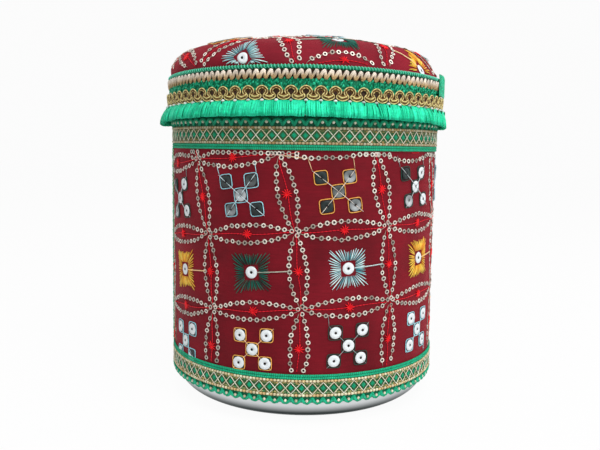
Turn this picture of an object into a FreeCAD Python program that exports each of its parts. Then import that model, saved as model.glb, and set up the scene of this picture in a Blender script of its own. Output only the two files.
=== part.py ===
import FreeCAD, Part
import math
import os

# Round steel canister covered in embroidered cloth, with a padded lid that lifts off.
# Millimetres, +Z up, origin at the middle of the foot. Azimuth 0 is the front (-Y), growing towards +X.

# Steel canister
can_radius = 75.0
can_height = 176.2
can_wall = 0.6
bottom_corner = 17.5
foot_width = 6.0
base_rise = 1.6
base_slope = 3.0
rim_bead = 1.5

# Cloth and glue
glue_gap = 0.1
cloth = 0.5
wrap_under_lace = 13.0

# Lace, measured across its width from the plain corded edge to the tips of the picots
lace_edge = 2.8
lace_gold_line = 2.0
lace_lattice = 5.3
lace_picot = 5.2
lace_ground = 0.5
lace_net = 0.5
lace_pitch = 5.4
lace_thread = 0.9
picot_gap = 2.4
picot_gap_depth = 2.6
lower_lace_top = 27.2
lace_below_lid = 1.7

# Lace strip over the seam of the cloth
seam_azimuth = -85.4
seam_width = 17.1
seam_butt_gap = 0.2

# Lid pressing
lid_clearance = 0.4
lid_seat_gap = 0.1
lid_wall = 0.5
lid_corner = 1.7
lid_skirt = 18.8
lid_hem = 2.0
panel_radius = 60.0
panel_drop = 1.2
panel_slope = 2.0

# Padded top, measured on the outside of its cloth
dome_side = 0.2
dome_height = 24.2
dome_shoulder = 16.5
pad_draw_in = 0.8

# Trims on the lid
tape_thickness = 0.8
tape_above_hem = 2.9
cord_radius = 0.95
cord_rise = 1.65
zigzag_height = 4.8
zigzag_thickness = 1.5
zigzag_pitch = 3.5
zigzag_notch = 2.6
zigzag_notch_width = 1.5
heading_thickness = 0.7
heading_width = 6.4
scroll_height = 6.8
scroll_thickness = 2.2
scroll_pitch = 6.92
scroll_eye_radius = 1.1
scroll_eye_drop = 3.2
scroll_rise = 0.0
fringe_drop = 8.0
fringe_root = 2.0
fringe_tip = 3.6
fringe_flare = 1.4
lap_azimuth = 80.0
lap_width = 3.0
lap_thickness = 2.0
lap_rise = 2.0

# Embroidered grid: cells of the cloth, with a sewn motif in the middle of each.
# Rows climb to the right, less and less up to the level column, and columns lean to the right, less and
# less further down, where the rows are also taller.
cell_width = 49.0
cell_height = 37.4
cell_height_gain = 0.46
cell_climb = 2.85
cell_climb_loss = 0.62
level_column = 2.3
cell_lean = 11.2
cell_lean_loss = 2.6
grid_offset = -12.8
grid_below_lace = 2.1
sequin_radius = 3.0
sequin_thickness = 0.3
mirror_side = 6.0
mirror_thickness = 0.3
motif_reach = 7.2
field_margin = 3.1

# The same grid on the lid, measured along the cloth from the top of the dome
lid_cell_right = 48.8
lid_cell_forward = -12.0
lid_row_right = 7.6
lid_row_forward = 36.8
lid_front_right = 17.5
lid_front_forward = 62.4
lid_field_margin = 2.7

Vector = FreeCAD.Vector
ORIGIN = Vector(0, 0, 0)
AXIS = Vector(0, 0, 1)
OUTWARD = Vector(1, 0, 0)
FULL_TURN = 360.0
CUT_MARGIN = 1.0
TOUCHING = 1e-6
LOOP_ANGLES = (90, 45)
EYE_SIDES = 6

# Places of the pieces of a motif, as shares of its reach to the right and up
SINGLE = [(0, 0)]
CROSS = [(0, 0), (-1, 1), (1, 1), (-1, -1), (1, -1)]
MOTIF_KINDS = 3
ON_CLOTH = glue_gap
ON_MIRROR = glue_gap + mirror_thickness + glue_gap

# Radii and heights that follow from the sizes above
wrap_inner = can_radius + glue_gap
wrap_outer = wrap_inner + cloth
lace_inner = wrap_outer + glue_gap
lace_outer = lace_inner + lace_ground
net_inner = lace_outer + glue_gap
net_outer = net_inner + lace_net
lace_width = lace_edge + 2 * lace_gold_line + lace_lattice + lace_picot
net_width = 2 * lace_gold_line + lace_lattice
net_middle = lace_edge + net_width / 2

skirt_inner = can_radius + lid_clearance
skirt_outer = skirt_inner + lid_wall
lid_under = can_height + lid_seat_gap
lid_top = lid_under + lid_wall
skirt_bottom = lid_under - lid_skirt
upper_lace_top = skirt_bottom - lace_below_lid
upper_lace_bottom = upper_lace_top - lace_width
wrap_top = upper_lace_bottom + wrap_under_lace
grid_top = upper_lace_bottom - grid_below_lace
dome_spring = lid_top + dome_side
cover_inner = skirt_outer + glue_gap
cover_outer = cover_inner + cloth
cover_bottom = skirt_bottom + lid_hem + glue_gap
tape_inner = cover_outer + glue_gap
tape_outer = tape_inner + tape_thickness
trim_inner = tape_outer + glue_gap
cord_middle = lid_top + cord_rise
tape_top = cord_middle - cord_radius - glue_gap
tape_bottom = cover_bottom + tape_above_hem
heading_outer = trim_inner + heading_thickness
heading_top = tape_bottom + heading_width
scroll_inner = heading_outer + glue_gap
scroll_bottom = tape_bottom + scroll_rise
scroll_top = scroll_bottom + scroll_height
fringe_top = tape_bottom - glue_gap
fringe_bottom = fringe_top - fringe_drop


def point(radius, height):
    """A point of a turned profile, in the XZ half plane."""
    return Vector(radius, 0, height)


def line(start, end):
    return Part.LineSegment(start, end).toShape()


def arc(middle, radius, start_angle, end_angle):
    """Arc of a turned profile about a middle point, angles in degrees from outward (+X) towards up."""
    def place(angle):
        turn = math.radians(angle)
        return middle + Vector(radius * math.cos(turn), 0, radius * math.sin(turn))
    return Part.Arc(place(start_angle), place((start_angle + end_angle) / 2), place(end_angle)).toShape()


def polyline(points):
    return [line(start, end) for start, end in zip(points, points[1:])]


def turned(edges):
    """Solid turned about the Z axis from the edges of one closed profile."""
    wire = Part.Wire(Part.__sortEdges__(edges))
    return Part.Face(wire).revolve(ORIGIN, AXIS, FULL_TURN)


def ring(inner, outer, bottom, top):
    corners = [point(inner, bottom), point(outer, bottom), point(outer, top), point(inner, top)]
    return turned(polyline(corners + corners[:1]))


def bearing(azimuth):
    """Turn about Z that carries +X to an azimuth."""
    return azimuth - 90.0


def repeats(radius, pitch):
    """Whole number of repeats of a trim that goes round at a radius."""
    return round(2 * math.pi * radius / pitch)


def radial_prism(outline, azimuth_step=0.0):
    """Long prism along +X whose outline is given as (sideways, height) pairs, turned about Z by a step."""
    corners = [Vector(0, sideways, height) for sideways, height in outline]
    face = Part.Face(Part.makePolygon(corners + corners[:1]))
    return face.extrude(OUTWARD * 2 * can_radius).rotated(ORIGIN, AXIS, azimuth_step)


def panel_ring(section, count, middle_cuts, edge_cuts):
    """Ring of flat panels, one to each repeat of a trim, joined along their upright edges into one solid.

    The section is the closed outline of the trim as (radius, height) pairs. Each panel is a straight bar
    of that section, trimmed to one step of the ring. Outlines of cuts are (sideways, height) pairs: some
    go through the middle of every panel and some through the joints between panels.
    """
    half_step = FULL_TURN / count / 2
    slope = math.tan(math.radians(half_step))
    reach = max(radius for radius, height in section) + CUT_MARGIN
    corners = [point(radius, height) - Vector(0, reach * slope, 0) for radius, height in section]
    bar = Part.Face(Part.makePolygon(corners + corners[:1])).extrude(Vector(0, 2 * reach * slope, 0))
    low = bar.BoundBox.ZMin - CUT_MARGIN
    plan = [Vector(0, 0, low), Vector(reach, -reach * slope, low), Vector(reach, reach * slope, low)]
    wedge = Part.Face(Part.makePolygon(plan + plan[:1])).extrude(AXIS * (bar.BoundBox.ZLength + 2 * CUT_MARGIN))
    cutters = [radial_prism(outline) for outline in middle_cuts]
    for outline in edge_cuts:
        cutters += [radial_prism(outline, -half_step), radial_prism(outline, half_step)]
    panel = bar.common(wedge)
    if cutters:
        panel = panel.cut(cutters)

    def is_open(face):
        centre = face.CenterOfMass
        return abs(abs(centre.y) - centre.x * slope) > TOUCHING
    skin = [face for face in panel.Faces if is_open(face)]
    faces = []
    for index in range(count):
        faces += [face.rotated(ORIGIN, AXIS, 2 * half_step * index) for face in skin]
    shell = Part.makeShell(faces)
    shell.sewShape()
    return Part.makeSolid(shell)


def band_section(inner, outer, bottom, top):
    return [(inner, bottom), (outer, bottom), (outer, top), (inner, top)]


def diamond(width, height, middle):
    return [(-width / 2, middle), (0, middle - height / 2), (width / 2, middle), (0, middle + height / 2)]


def notch(width, apex, mouth):
    """Triangle with its apex at one height and its open mouth past another."""
    past = CUT_MARGIN if mouth > apex else -CUT_MARGIN
    spread = width / 2 * (mouth + past - apex) / (mouth - apex)
    return [(0, apex), (spread, mouth + past), (-spread, mouth + past)]


def between_loops(edge, inward):
    """Gap between two round loops of the scroll braid that reach an edge, where inward is +1 or -1."""
    radius = scroll_pitch / 2
    flank = []
    for angle in LOOP_ANGLES:
        turn = math.radians(angle)
        flank.append((radius * (1 - math.sin(turn)), edge + inward * radius * (1 - math.cos(turn))))
    flank.append((flank[-1][0], edge - inward * CUT_MARGIN))
    return flank + [(-sideways, height) for sideways, height in reversed(flank[1:])]


def eye(middle):
    """Six-sided eye of a loop of the scroll braid."""
    turns = [2 * math.pi * corner / EYE_SIDES for corner in range(EYE_SIDES)]
    return [(scroll_eye_radius * math.cos(turn), middle + scroll_eye_radius * math.sin(turn)) for turn in turns]


def wall_place(top, distance, offset):
    """Point that stands off the canister's wall by an offset, a distance along the wall below a height.

    Below the straight wall it follows the rounded corner, where distances are measured on the inner
    face of the lace.
    """
    past = distance - (top - bottom_corner)
    if past <= 0:
        return point(can_radius + offset, top - distance)
    turn = past / (bottom_corner + lace_inner - can_radius)
    reach = bottom_corner + offset
    return point(can_radius - bottom_corner + reach * math.cos(turn), bottom_corner - reach * math.sin(turn))


def wall_section(top, distances, inner, outer):
    """Closed outline of a band that lies on the wall between two radii, through the distances given."""
    inside = [wall_place(top, distance, inner - can_radius) for distance in distances]
    outside = [wall_place(top, distance, outer - can_radius) for distance in distances]
    return [(place.x, place.z) for place in inside + outside[::-1]]


def canister_shell():
    """Spun canister: pressed base, rounded corner, straight wall and a rim rolled inwards."""
    bend = point(can_radius - bottom_corner, bottom_corner)
    foot_outer = can_radius - bottom_corner
    foot_inner = foot_outer - foot_width
    panel = foot_inner - base_slope
    bead = point(can_radius - rim_bead, can_height - rim_bead)
    inner_wall = can_radius - can_wall
    lip_angle = FULL_TURN - math.degrees(math.acos((rim_bead - can_wall) / rim_bead))
    lip = bead.z + rim_bead * math.sin(math.radians(lip_angle))
    outside = polyline([point(0, base_rise), point(panel, base_rise), point(foot_inner, 0), point(foot_outer, 0)])
    outside.append(arc(bend, bottom_corner, -90, 0))
    outside.append(line(point(can_radius, bottom_corner), point(can_radius, bead.z)))
    rim = [arc(bead, rim_bead, 0, 180), arc(bead, rim_bead, 180, lip_angle)]
    inside = [line(point(inner_wall, lip), point(inner_wall, bottom_corner))]
    inside.append(arc(bend, bottom_corner - can_wall, 0, -90))
    floor = [point(foot_outer, can_wall), point(foot_inner, can_wall)]
    floor += [point(panel, base_rise + can_wall), point(0, base_rise + can_wall), point(0, base_rise)]
    return turned(outside + rim + inside + polyline(floor))


def body_wrap():
    """Cloth round the straight wall, with both edges under the laces."""
    return ring(wrap_inner, wrap_outer, bottom_corner, wrap_top)


def lace_count():
    return repeats(lace_outer, lace_pitch)


def lattice_gap(middle):
    """Diamond gap of the gold net, one to each repeat of the lace."""
    return diamond(lace_pitch - lace_thread, lace_lattice, middle)


def lower_lace_bends(start, end):
    """Distances down the lower lace at which its outline has a point: its ends and the bend of the wall."""
    bend = lower_lace_top - bottom_corner
    if start < bend < end:
        return [start, bend, end]
    return [start, (start + end) / 2, end]


def lower_lace_ground():
    """Woven lace round the bottom: plain edge on top, picots with gaps between them below."""
    section = wall_section(lower_lace_top, lower_lace_bends(0, lace_width), lace_inner, lace_outer)
    tip = min(height for radius, height in section)
    return panel_ring(section, lace_count(), [], [notch(picot_gap, tip + picot_gap_depth, tip)])


def lower_lace_net():
    distances = lower_lace_bends(lace_edge, lace_edge + net_width)
    section = wall_section(lower_lace_top, distances, net_inner, net_outer)
    middle = wall_place(lower_lace_top, net_middle, 0).z
    return panel_ring(section, lace_count(), [lattice_gap(middle)], [])


def upper_lace_ground():
    """The same lace the other way up, round the top of the canister."""
    section = band_section(lace_inner, lace_outer, upper_lace_bottom, upper_lace_top)
    gap = notch(picot_gap, upper_lace_top - picot_gap_depth, upper_lace_top)
    return panel_ring(section, lace_count(), [], [gap])


def upper_lace_net():
    bottom = upper_lace_bottom + lace_edge
    section = band_section(net_inner, net_outer, bottom, bottom + net_width)
    return panel_ring(section, lace_count(), [lattice_gap(bottom + net_width / 2)], [])


def sector(section, width, azimuth):
    """Piece of a ring of the section given, of one width round the ring, about an azimuth."""
    corners = [point(radius, height) for radius, height in section]
    turn = math.degrees(width / section[0][0])
    piece = Part.Face(Part.makePolygon(corners + corners[:1])).revolve(ORIGIN, AXIS, turn)
    return piece.rotated(ORIGIN, AXIS, bearing(azimuth) - turn / 2)


def seam_lace_ground():
    """Upright strip of lace that fills the height between the two laces."""
    bottom = lower_lace_top + seam_butt_gap
    top = upper_lace_bottom - seam_butt_gap
    return sector(band_section(lace_inner, lace_outer, bottom, top), seam_width, seam_azimuth)


def seam_lace_net():
    bottom = lower_lace_top + seam_butt_gap + lace_edge
    top = upper_lace_bottom - seam_butt_gap - lace_edge
    strip = sector(band_section(net_inner, net_outer, bottom, top), net_width, seam_azimuth)
    count = int((top - bottom) / lace_pitch)
    first = (top + bottom - (count - 1) * lace_pitch) / 2
    gaps = []
    for index in range(count):
        outline = diamond(lace_lattice, lace_pitch - lace_thread, first + index * lace_pitch)
        gaps.append(radial_prism(outline, bearing(seam_azimuth)))
    return strip.cut(gaps)


def dome_arcs(inset):
    """Crown and shoulder arcs of the dome, a distance inside the face of its cloth.

    The shoulder arc starts upright at the spring line and runs into the crown arc with no corner.
    Returns the two edges from the top outwards, and the crown's middle, radius and half angle.
    """
    reach = cover_outer - dome_shoulder
    crown = (reach ** 2 + dome_height ** 2 - dome_shoulder ** 2) / (2 * (dome_height - dome_shoulder))
    crown_middle = point(0, dome_spring + dome_height - crown)
    shoulder_middle = point(reach, dome_spring)
    slope = math.degrees(math.atan2(shoulder_middle.z - crown_middle.z, reach))
    edges = [arc(crown_middle, crown - inset, 90, slope), arc(shoulder_middle, dome_shoulder - inset, slope, 0)]
    return edges, crown_middle, crown, 90 - slope


def lid_shell():
    """Pressed lid: sunk panel, rounded corner, and a skirt whose lower edge is folded back."""
    hem_outer = skirt_outer + lid_wall
    hem_top = skirt_bottom + lid_hem
    bend_outer = point(skirt_outer - lid_corner, lid_top - lid_corner)
    panel = panel_radius - panel_slope
    upper = polyline([point(0, lid_top - panel_drop), point(panel, lid_top - panel_drop),
                      point(panel_radius, lid_top), point(bend_outer.x, lid_top)])
    upper.append(arc(bend_outer, lid_corner, 90, 0))
    skirt = polyline([point(skirt_outer, bend_outer.z), point(skirt_outer, hem_top), point(hem_outer, hem_top),
                      point(hem_outer, skirt_bottom), point(skirt_inner, skirt_bottom),
                      point(skirt_inner, bend_outer.z)])
    lower = [arc(bend_outer, lid_corner - lid_wall, 0, 90)]
    lower += polyline([point(bend_outer.x, lid_under), point(panel_radius, lid_under),
                       point(panel, lid_under - panel_drop), point(0, lid_under - panel_drop),
                       point(0, lid_top - panel_drop)])
    return turned(upper + skirt + lower)


def lid_pad():
    """Domed padding, drawn in at its foot and bedded in the lid's sunk panel."""
    inset = cloth + glue_gap
    crown, shoulder = dome_arcs(inset)[0]
    foot = lid_top + glue_gap
    foot_radius = cover_outer - inset - pad_draw_in
    bed = panel_radius - glue_gap
    under = polyline([point(cover_outer - inset, dome_spring), point(foot_radius, foot), point(bed, foot),
                      point(bed - panel_slope, foot - panel_drop), point(0, foot - panel_drop)])
    under.append(line(point(0, foot - panel_drop), crown.Vertexes[0].Point))
    return turned([crown, shoulder] + under)


def lid_cover():
    """Cloth over the dome and down the skirt as far as the folded hem."""
    outside = dome_arcs(0)[0]
    inside = dome_arcs(cloth)[0]
    wall = polyline([point(cover_outer, dome_spring), point(cover_outer, cover_bottom),
                     point(cover_inner, cover_bottom), point(cover_inner, dome_spring)])
    top = line(inside[0].Vertexes[0].Point, outside[0].Vertexes[0].Point)
    return turned(outside + inside + wall + [top])


def lid_tape():
    return ring(tape_inner, tape_outer, tape_bottom, tape_top)


def lid_edge_cord():
    return Part.makeTorus(tape_inner + cord_radius, cord_radius, point(0, cord_middle), AXIS)


def lid_zigzag_braid():
    """Flat braid folded into a zigzag: a band with notches from above and below by turns."""
    outer = trim_inner + zigzag_thickness
    bottom = tape_top - zigzag_height
    from_above = notch(zigzag_notch_width, tape_top - zigzag_notch, tape_top)
    from_below = notch(zigzag_notch_width, bottom + zigzag_notch, bottom)
    section = band_section(trim_inner, outer, bottom, tape_top)
    return panel_ring(section, repeats(outer, zigzag_pitch), [from_below], [from_above])


def lid_scroll_braid():
    """Scroll braid: loops above and below by turns, with an eye in the middle of each upper loop."""
    outer = scroll_inner + scroll_thickness
    section = band_section(scroll_inner, outer, scroll_bottom, scroll_top)
    through = [between_loops(scroll_bottom, 1), eye(scroll_top - scroll_eye_drop)]
    return panel_ring(section, repeats(outer, scroll_pitch), through, [between_loops(scroll_top, -1)])


def fringe_heading():
    return ring(trim_inner, heading_outer, tape_bottom, heading_top)


def fringe():
    """Brush fringe below its heading, flared outwards and thicker at the tips."""
    root_outer = tape_outer + fringe_root
    tip_inner = tape_outer + fringe_flare
    tip_outer = tip_inner + fringe_tip
    inside = line(point(tape_outer, fringe_top), point(tip_inner, fringe_bottom))
    belly = point((root_outer + tip_outer) / 2 + fringe_root / 2, (fringe_top + fringe_bottom) / 2)
    outside = Part.Arc(point(root_outer, fringe_top), belly, point(tip_outer, fringe_bottom)).toShape()
    head = line(point(tape_outer, fringe_top), point(root_outer, fringe_top))
    foot = line(point(tip_inner, fringe_bottom), point(tip_outer, fringe_bottom))
    return turned([inside, outside, head, foot])


def lid_tape_end():
    """End of the tape, turned over and lapped on the zigzag braid, up to the top of the cord."""
    inner = trim_inner + zigzag_thickness + glue_gap
    outer = inner + lap_thickness
    section = band_section(inner, outer, scroll_top + glue_gap, tape_top + lap_rise)
    return sector(section, lap_width, lap_azimuth)


def sequin():
    """Round sequin lying at the origin with its face up."""
    return Part.makeCylinder(sequin_radius, sequin_thickness)


def mirror():
    """Square foil mirror lying at the origin with its face up."""
    return Part.makeBox(mirror_side, mirror_side, mirror_thickness, Vector(-mirror_side / 2, -mirror_side / 2, 0))


def on_wall(shape, place, tilt, lift):
    """Piece laid on the cloth of the wall at a place of the flat cloth, lifted off it and turned by a tilt."""
    azimuth = math.degrees(place.x / wrap_outer)
    upright = FreeCAD.Rotation(Vector(0, 1, 0), Vector(0, 0, 1), OUTWARD, "ZXY")
    twist = FreeCAD.Rotation(OUTWARD, tilt)
    turn = FreeCAD.Rotation(AXIS, bearing(azimuth))
    seat = turn.multVec(Vector(wrap_outer + lift, 0, place.y))
    return shape.transformed(FreeCAD.Placement(seat, turn.multiply(twist).multiply(upright)).toMatrix())


def grid_place(column, row):
    """Place of a crossing of the grid on the flat cloth: distance round the wall from the front, and height."""
    climbing = min(column, level_column)
    across = grid_offset + cell_width * column + cell_lean * row - cell_lean_loss * row ** 2
    climb = cell_climb * climbing - cell_climb_loss * climbing ** 2
    return Vector(across, grid_top + climb - cell_height * row - cell_height_gain * row ** 2, 0)


def cell_axes(column, row):
    """Directions along the rows and up the columns of the grid, in the middle of a cell."""
    along = grid_place(column + 1, row + 0.5) - grid_place(column, row + 0.5)
    upwards = grid_place(column + 0.5, row) - grid_place(column + 0.5, row + 1)
    return along.normalize(), upwards.normalize()


def body_rows():
    return math.ceil((upper_lace_bottom - lower_lace_top) / cell_height)


def body_columns():
    """Columns of cells that fit between the two edges of the seam strip."""
    seam = math.radians(seam_azimuth) * wrap_outer
    slant = max(abs(cell_axes(0, row)[1].x) for row in range(body_rows()))
    corner = max(sequin_radius, mirror_side / math.sqrt(2))
    clear = seam_width / 2 + motif_reach * (1 + slant) + corner
    leans = [grid_place(0, row + 0.5).x for row in range(body_rows())]
    first = math.ceil((seam + clear - min(leans)) / cell_width - 0.5)
    length = 2 * math.pi * wrap_outer
    last = math.floor((seam + length - clear - max(leans)) / cell_width - 0.5)
    return range(first, last + 1)


def in_field(height):
    """Whether a sewn piece clears the two laces."""
    return lower_lace_top + field_margin < height < upper_lace_bottom - field_margin


def wall_motif(shape, first_row, shares, lift):
    """The pieces of one kind of motif, all round the wall, in every third row of cells from the first."""
    pieces = []
    for row in range(first_row, body_rows(), MOTIF_KINDS):
        for column in body_columns():
            along, upwards = cell_axes(column, row)
            square = along + Vector(upwards.y, -upwards.x, 0)
            tilt = math.degrees(math.atan2(square.y, square.x))
            for right, up in shares:
                offset = (along * right + upwards * up) * motif_reach
                place = grid_place(column + 0.5, row + 0.5) + offset
                if in_field(place.y):
                    pieces.append(on_wall(shape, place, tilt, lift))
    return pieces


def body_square_mirrors():
    """Square foils of the crosses, each under a round sequin."""
    return Part.makeCompound(wall_motif(mirror(), 0, CROSS, ON_CLOTH) + wall_motif(mirror(), 2, CROSS, ON_CLOTH))


def body_round_sequins():
    """Sequins on the foils of the crosses, and one on the cloth in the middle of each sunburst."""
    pieces = wall_motif(sequin(), 0, CROSS, ON_MIRROR)
    pieces += wall_motif(sequin(), 1, SINGLE, ON_CLOTH)
    pieces += wall_motif(sequin(), 2, CROSS, ON_MIRROR)
    return Part.makeCompound(pieces)


def on_dome(shape, right, forward, lift):
    """Piece laid on the dome, lifted off it, at a place measured along the cloth from the top of the dome."""
    middle, crown, half_angle = dome_arcs(0)[1:]
    along = math.hypot(right, forward)
    crown_length = crown * math.radians(half_angle)
    if along < crown_length:
        tip = math.degrees(along / crown)
        start = middle
        reach = crown
    else:
        tip = half_angle + math.degrees((along - crown_length) / dome_shoulder)
        start = point(cover_outer - dome_shoulder, dome_spring)
        reach = dome_shoulder
    lean = FreeCAD.Rotation(Vector(0, 1, 0), tip)
    outward = bearing(math.degrees(math.atan2(right, forward)))
    turn = FreeCAD.Rotation(AXIS, outward)
    spin = FreeCAD.Rotation(AXIS, lid_tilt() - outward)
    seat = start + lean.multVec(AXIS) * (reach + lift)
    return shape.transformed(FreeCAD.Placement(turn.multVec(seat), turn.multiply(lean).multiply(spin)).toMatrix())


def lid_tilt():
    return math.degrees(math.atan2(-lid_cell_forward, lid_cell_right))


def dome_motif(shape, row, shares, lift):
    """The pieces of one row of motifs on the lid, rows counted from the front."""
    edge = dome_arcs(0)[0]
    limit = edge[0].Length + edge[1].Length - sequin_radius - lid_field_margin
    turn = math.radians(lid_tilt())
    pieces = []
    for column in (-1, 0, 1):
        middle_right = lid_front_right + column * lid_cell_right - row * lid_row_right
        middle_forward = lid_front_forward + column * lid_cell_forward - row * lid_row_forward
        for right, up in shares:
            across = middle_right + motif_reach * (right * math.cos(turn) - up * math.sin(turn))
            forward = middle_forward - motif_reach * (right * math.sin(turn) + up * math.cos(turn))
            if math.hypot(across, forward) < limit:
                pieces.append(on_dome(shape, across, forward, lift))
    return pieces


def lid_square_mirrors():
    return Part.makeCompound(dome_motif(mirror(), 1, CROSS, ON_CLOTH) + dome_motif(mirror(), 2, CROSS, ON_CLOTH))


def lid_round_sequins():
    pieces = dome_motif(sequin(), 0, SINGLE, ON_CLOTH)
    pieces += dome_motif(sequin(), 1, CROSS, ON_MIRROR)
    pieces += dome_motif(sequin(), 2, CROSS, ON_MIRROR)
    pieces += dome_motif(sequin(), 3, SINGLE, ON_CLOTH)
    return Part.makeCompound(pieces)


nodes = [
    canister_shell, body_wrap, lower_lace_ground, lower_lace_net, upper_lace_ground, upper_lace_net,
    seam_lace_ground, seam_lace_net, body_round_sequins, body_square_mirrors,
    lid_shell, lid_pad, lid_cover, lid_tape, lid_tape_end, lid_edge_cord, lid_zigzag_braid,
    lid_scroll_braid, fringe_heading, fringe, lid_round_sequins, lid_square_mirrors,
]

os.makedirs("parts", exist_ok=True)
for build in nodes:
    shape = build()
    name = build.__name__
    if not shape.isValid():
        raise ValueError(name + " is not a valid shape")
    shape.exportStep("parts/" + name + ".step")
    print(name, len(shape.Solids), "solids", round(shape.Volume, 1), "mm3")
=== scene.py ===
# %% [markdown]
# This lesson dresses a steel canister: cloth, lace, braid, fringe, sequins and thread.
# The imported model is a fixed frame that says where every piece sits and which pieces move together.
# So the first step is to load it, and to note its box before anything is added.

# %% Load the frame
import math

import bpy
import numpy as np
from mathutils import Matrix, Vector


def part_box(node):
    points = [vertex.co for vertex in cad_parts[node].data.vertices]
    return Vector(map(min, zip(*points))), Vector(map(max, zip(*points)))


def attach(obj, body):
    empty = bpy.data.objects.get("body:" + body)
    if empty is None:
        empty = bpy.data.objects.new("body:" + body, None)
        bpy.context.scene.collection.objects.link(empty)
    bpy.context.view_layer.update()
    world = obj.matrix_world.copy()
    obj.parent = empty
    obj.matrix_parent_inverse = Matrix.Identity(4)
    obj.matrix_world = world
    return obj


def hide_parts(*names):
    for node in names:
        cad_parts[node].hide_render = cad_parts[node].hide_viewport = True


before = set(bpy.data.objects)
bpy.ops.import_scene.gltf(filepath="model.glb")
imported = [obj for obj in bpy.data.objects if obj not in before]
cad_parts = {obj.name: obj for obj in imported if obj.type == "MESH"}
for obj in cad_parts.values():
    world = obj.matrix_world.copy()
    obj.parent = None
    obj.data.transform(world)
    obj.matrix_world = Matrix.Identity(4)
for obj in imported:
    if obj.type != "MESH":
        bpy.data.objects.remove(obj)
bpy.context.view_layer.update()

print("pieces in the frame:", len(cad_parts))

# %% [markdown]
# A maker thinks of this box in millimetres, so the script does too, and turns them into metres at the end.
# Radii and heights are read from the frame, which keeps every new piece on the piece that carries it.

# %% Sizes read from the frame
MM = 0.001
TURN = 2 * math.pi
GLUE = 0.1


def extent(piece):
    """Outer radius, bottom and top of a piece of the frame, in millimetres."""
    lowest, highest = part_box(piece)
    return np.array([highest[0], lowest[2], highest[2]]) / MM


CAN_RADIUS, _, CAN_TOP = extent("canister_shell")
WALL, WRAP_BOTTOM, WRAP_TOP = extent("body_wrap")
_, _, LOWER_LACE_TOP = extent("lower_lace_ground")
_, UPPER_LACE_BOTTOM, UPPER_LACE_TOP = extent("upper_lace_ground")
LID_RADIUS, SKIRT_BOTTOM, LID_TOP = extent("lid_shell")
COVER, COVER_BOTTOM, APEX = extent("lid_cover")
TAPE, TAPE_BOTTOM, TAPE_TOP = extent("lid_tape")
_, CORD_LOW, CORD_HIGH = extent("lid_edge_cord")
LACE = WALL + GLUE
print("wall radius", WALL.round(2), "lid radius", COVER.round(2), "height", APEX.round(2))

# %% [markdown]
# Every piece here is a grid of points: rows along a path, columns round it.
# One small class gathers such grids and writes them into a mesh as whole arrays.
# It also carries a colour for each point, which is how one thread material can serve many dyes.


# %% Points and colours
def points(*parts):
    """Points from their coordinates, each an array or one number for all of them."""
    return np.stack(np.broadcast_arrays(*parts), -1)


def around(count):
    """Angles of even steps round a circle."""
    return TURN * np.arange(count) / count


def colour(red, green, blue):
    """Screen colour, 0 to 255, as the linear light that shaders use."""
    value = np.array([red, green, blue]) / 255
    linear = np.where(value <= 0.04045, value / 12.92, ((value + 0.055) / 1.055) ** 2.4)
    return np.append(linear, 1.0)


def mixed(first, second, share):
    """Colours between two, by a share from 0 to 1 at every point."""
    share = np.asarray(share)[..., None]
    return first * (1 - share) + second * share


def by_piece(tints):
    """One colour for each grid of a group."""
    return tints[:, None, None]


def by_row(tints):
    """One colour for each row of a grid."""
    return tints[None, :, None]


# %% Gather grids into a mesh
def as_drawn(flat):
    return flat


def volume(places, shapes):
    """Volume inside closed faces: each triangle of a face's fan adds a sixth of its triple product."""
    total = 0.0
    for faces in shapes:
        first = places[faces[:, :1]]
        total += (first * np.cross(places[faces[:, 1:-1]], places[faces[:, 2:]])).sum() / 6
    return total


def run_and_turn(grids, spans):
    """Own coordinates of a grid's faces: millimetres run along the rows, and turns round the columns."""
    many, _, columns = grids.shape[:3]
    middle = grids.mean(2)
    step = np.linalg.norm(np.roll(middle, -1, 1) - middle, axis=-1)
    run = np.concatenate([np.zeros((many, 1)), np.cumsum(step, 1)], 1)[..., None]
    start, end = run[:, :spans], run[:, 1:spans + 1]
    turn = np.arange(columns) / columns
    after = turn + 1 / columns
    return np.stack([points(start, turn), points(start, after), points(end, after), points(end, turn)], -2)


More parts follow.
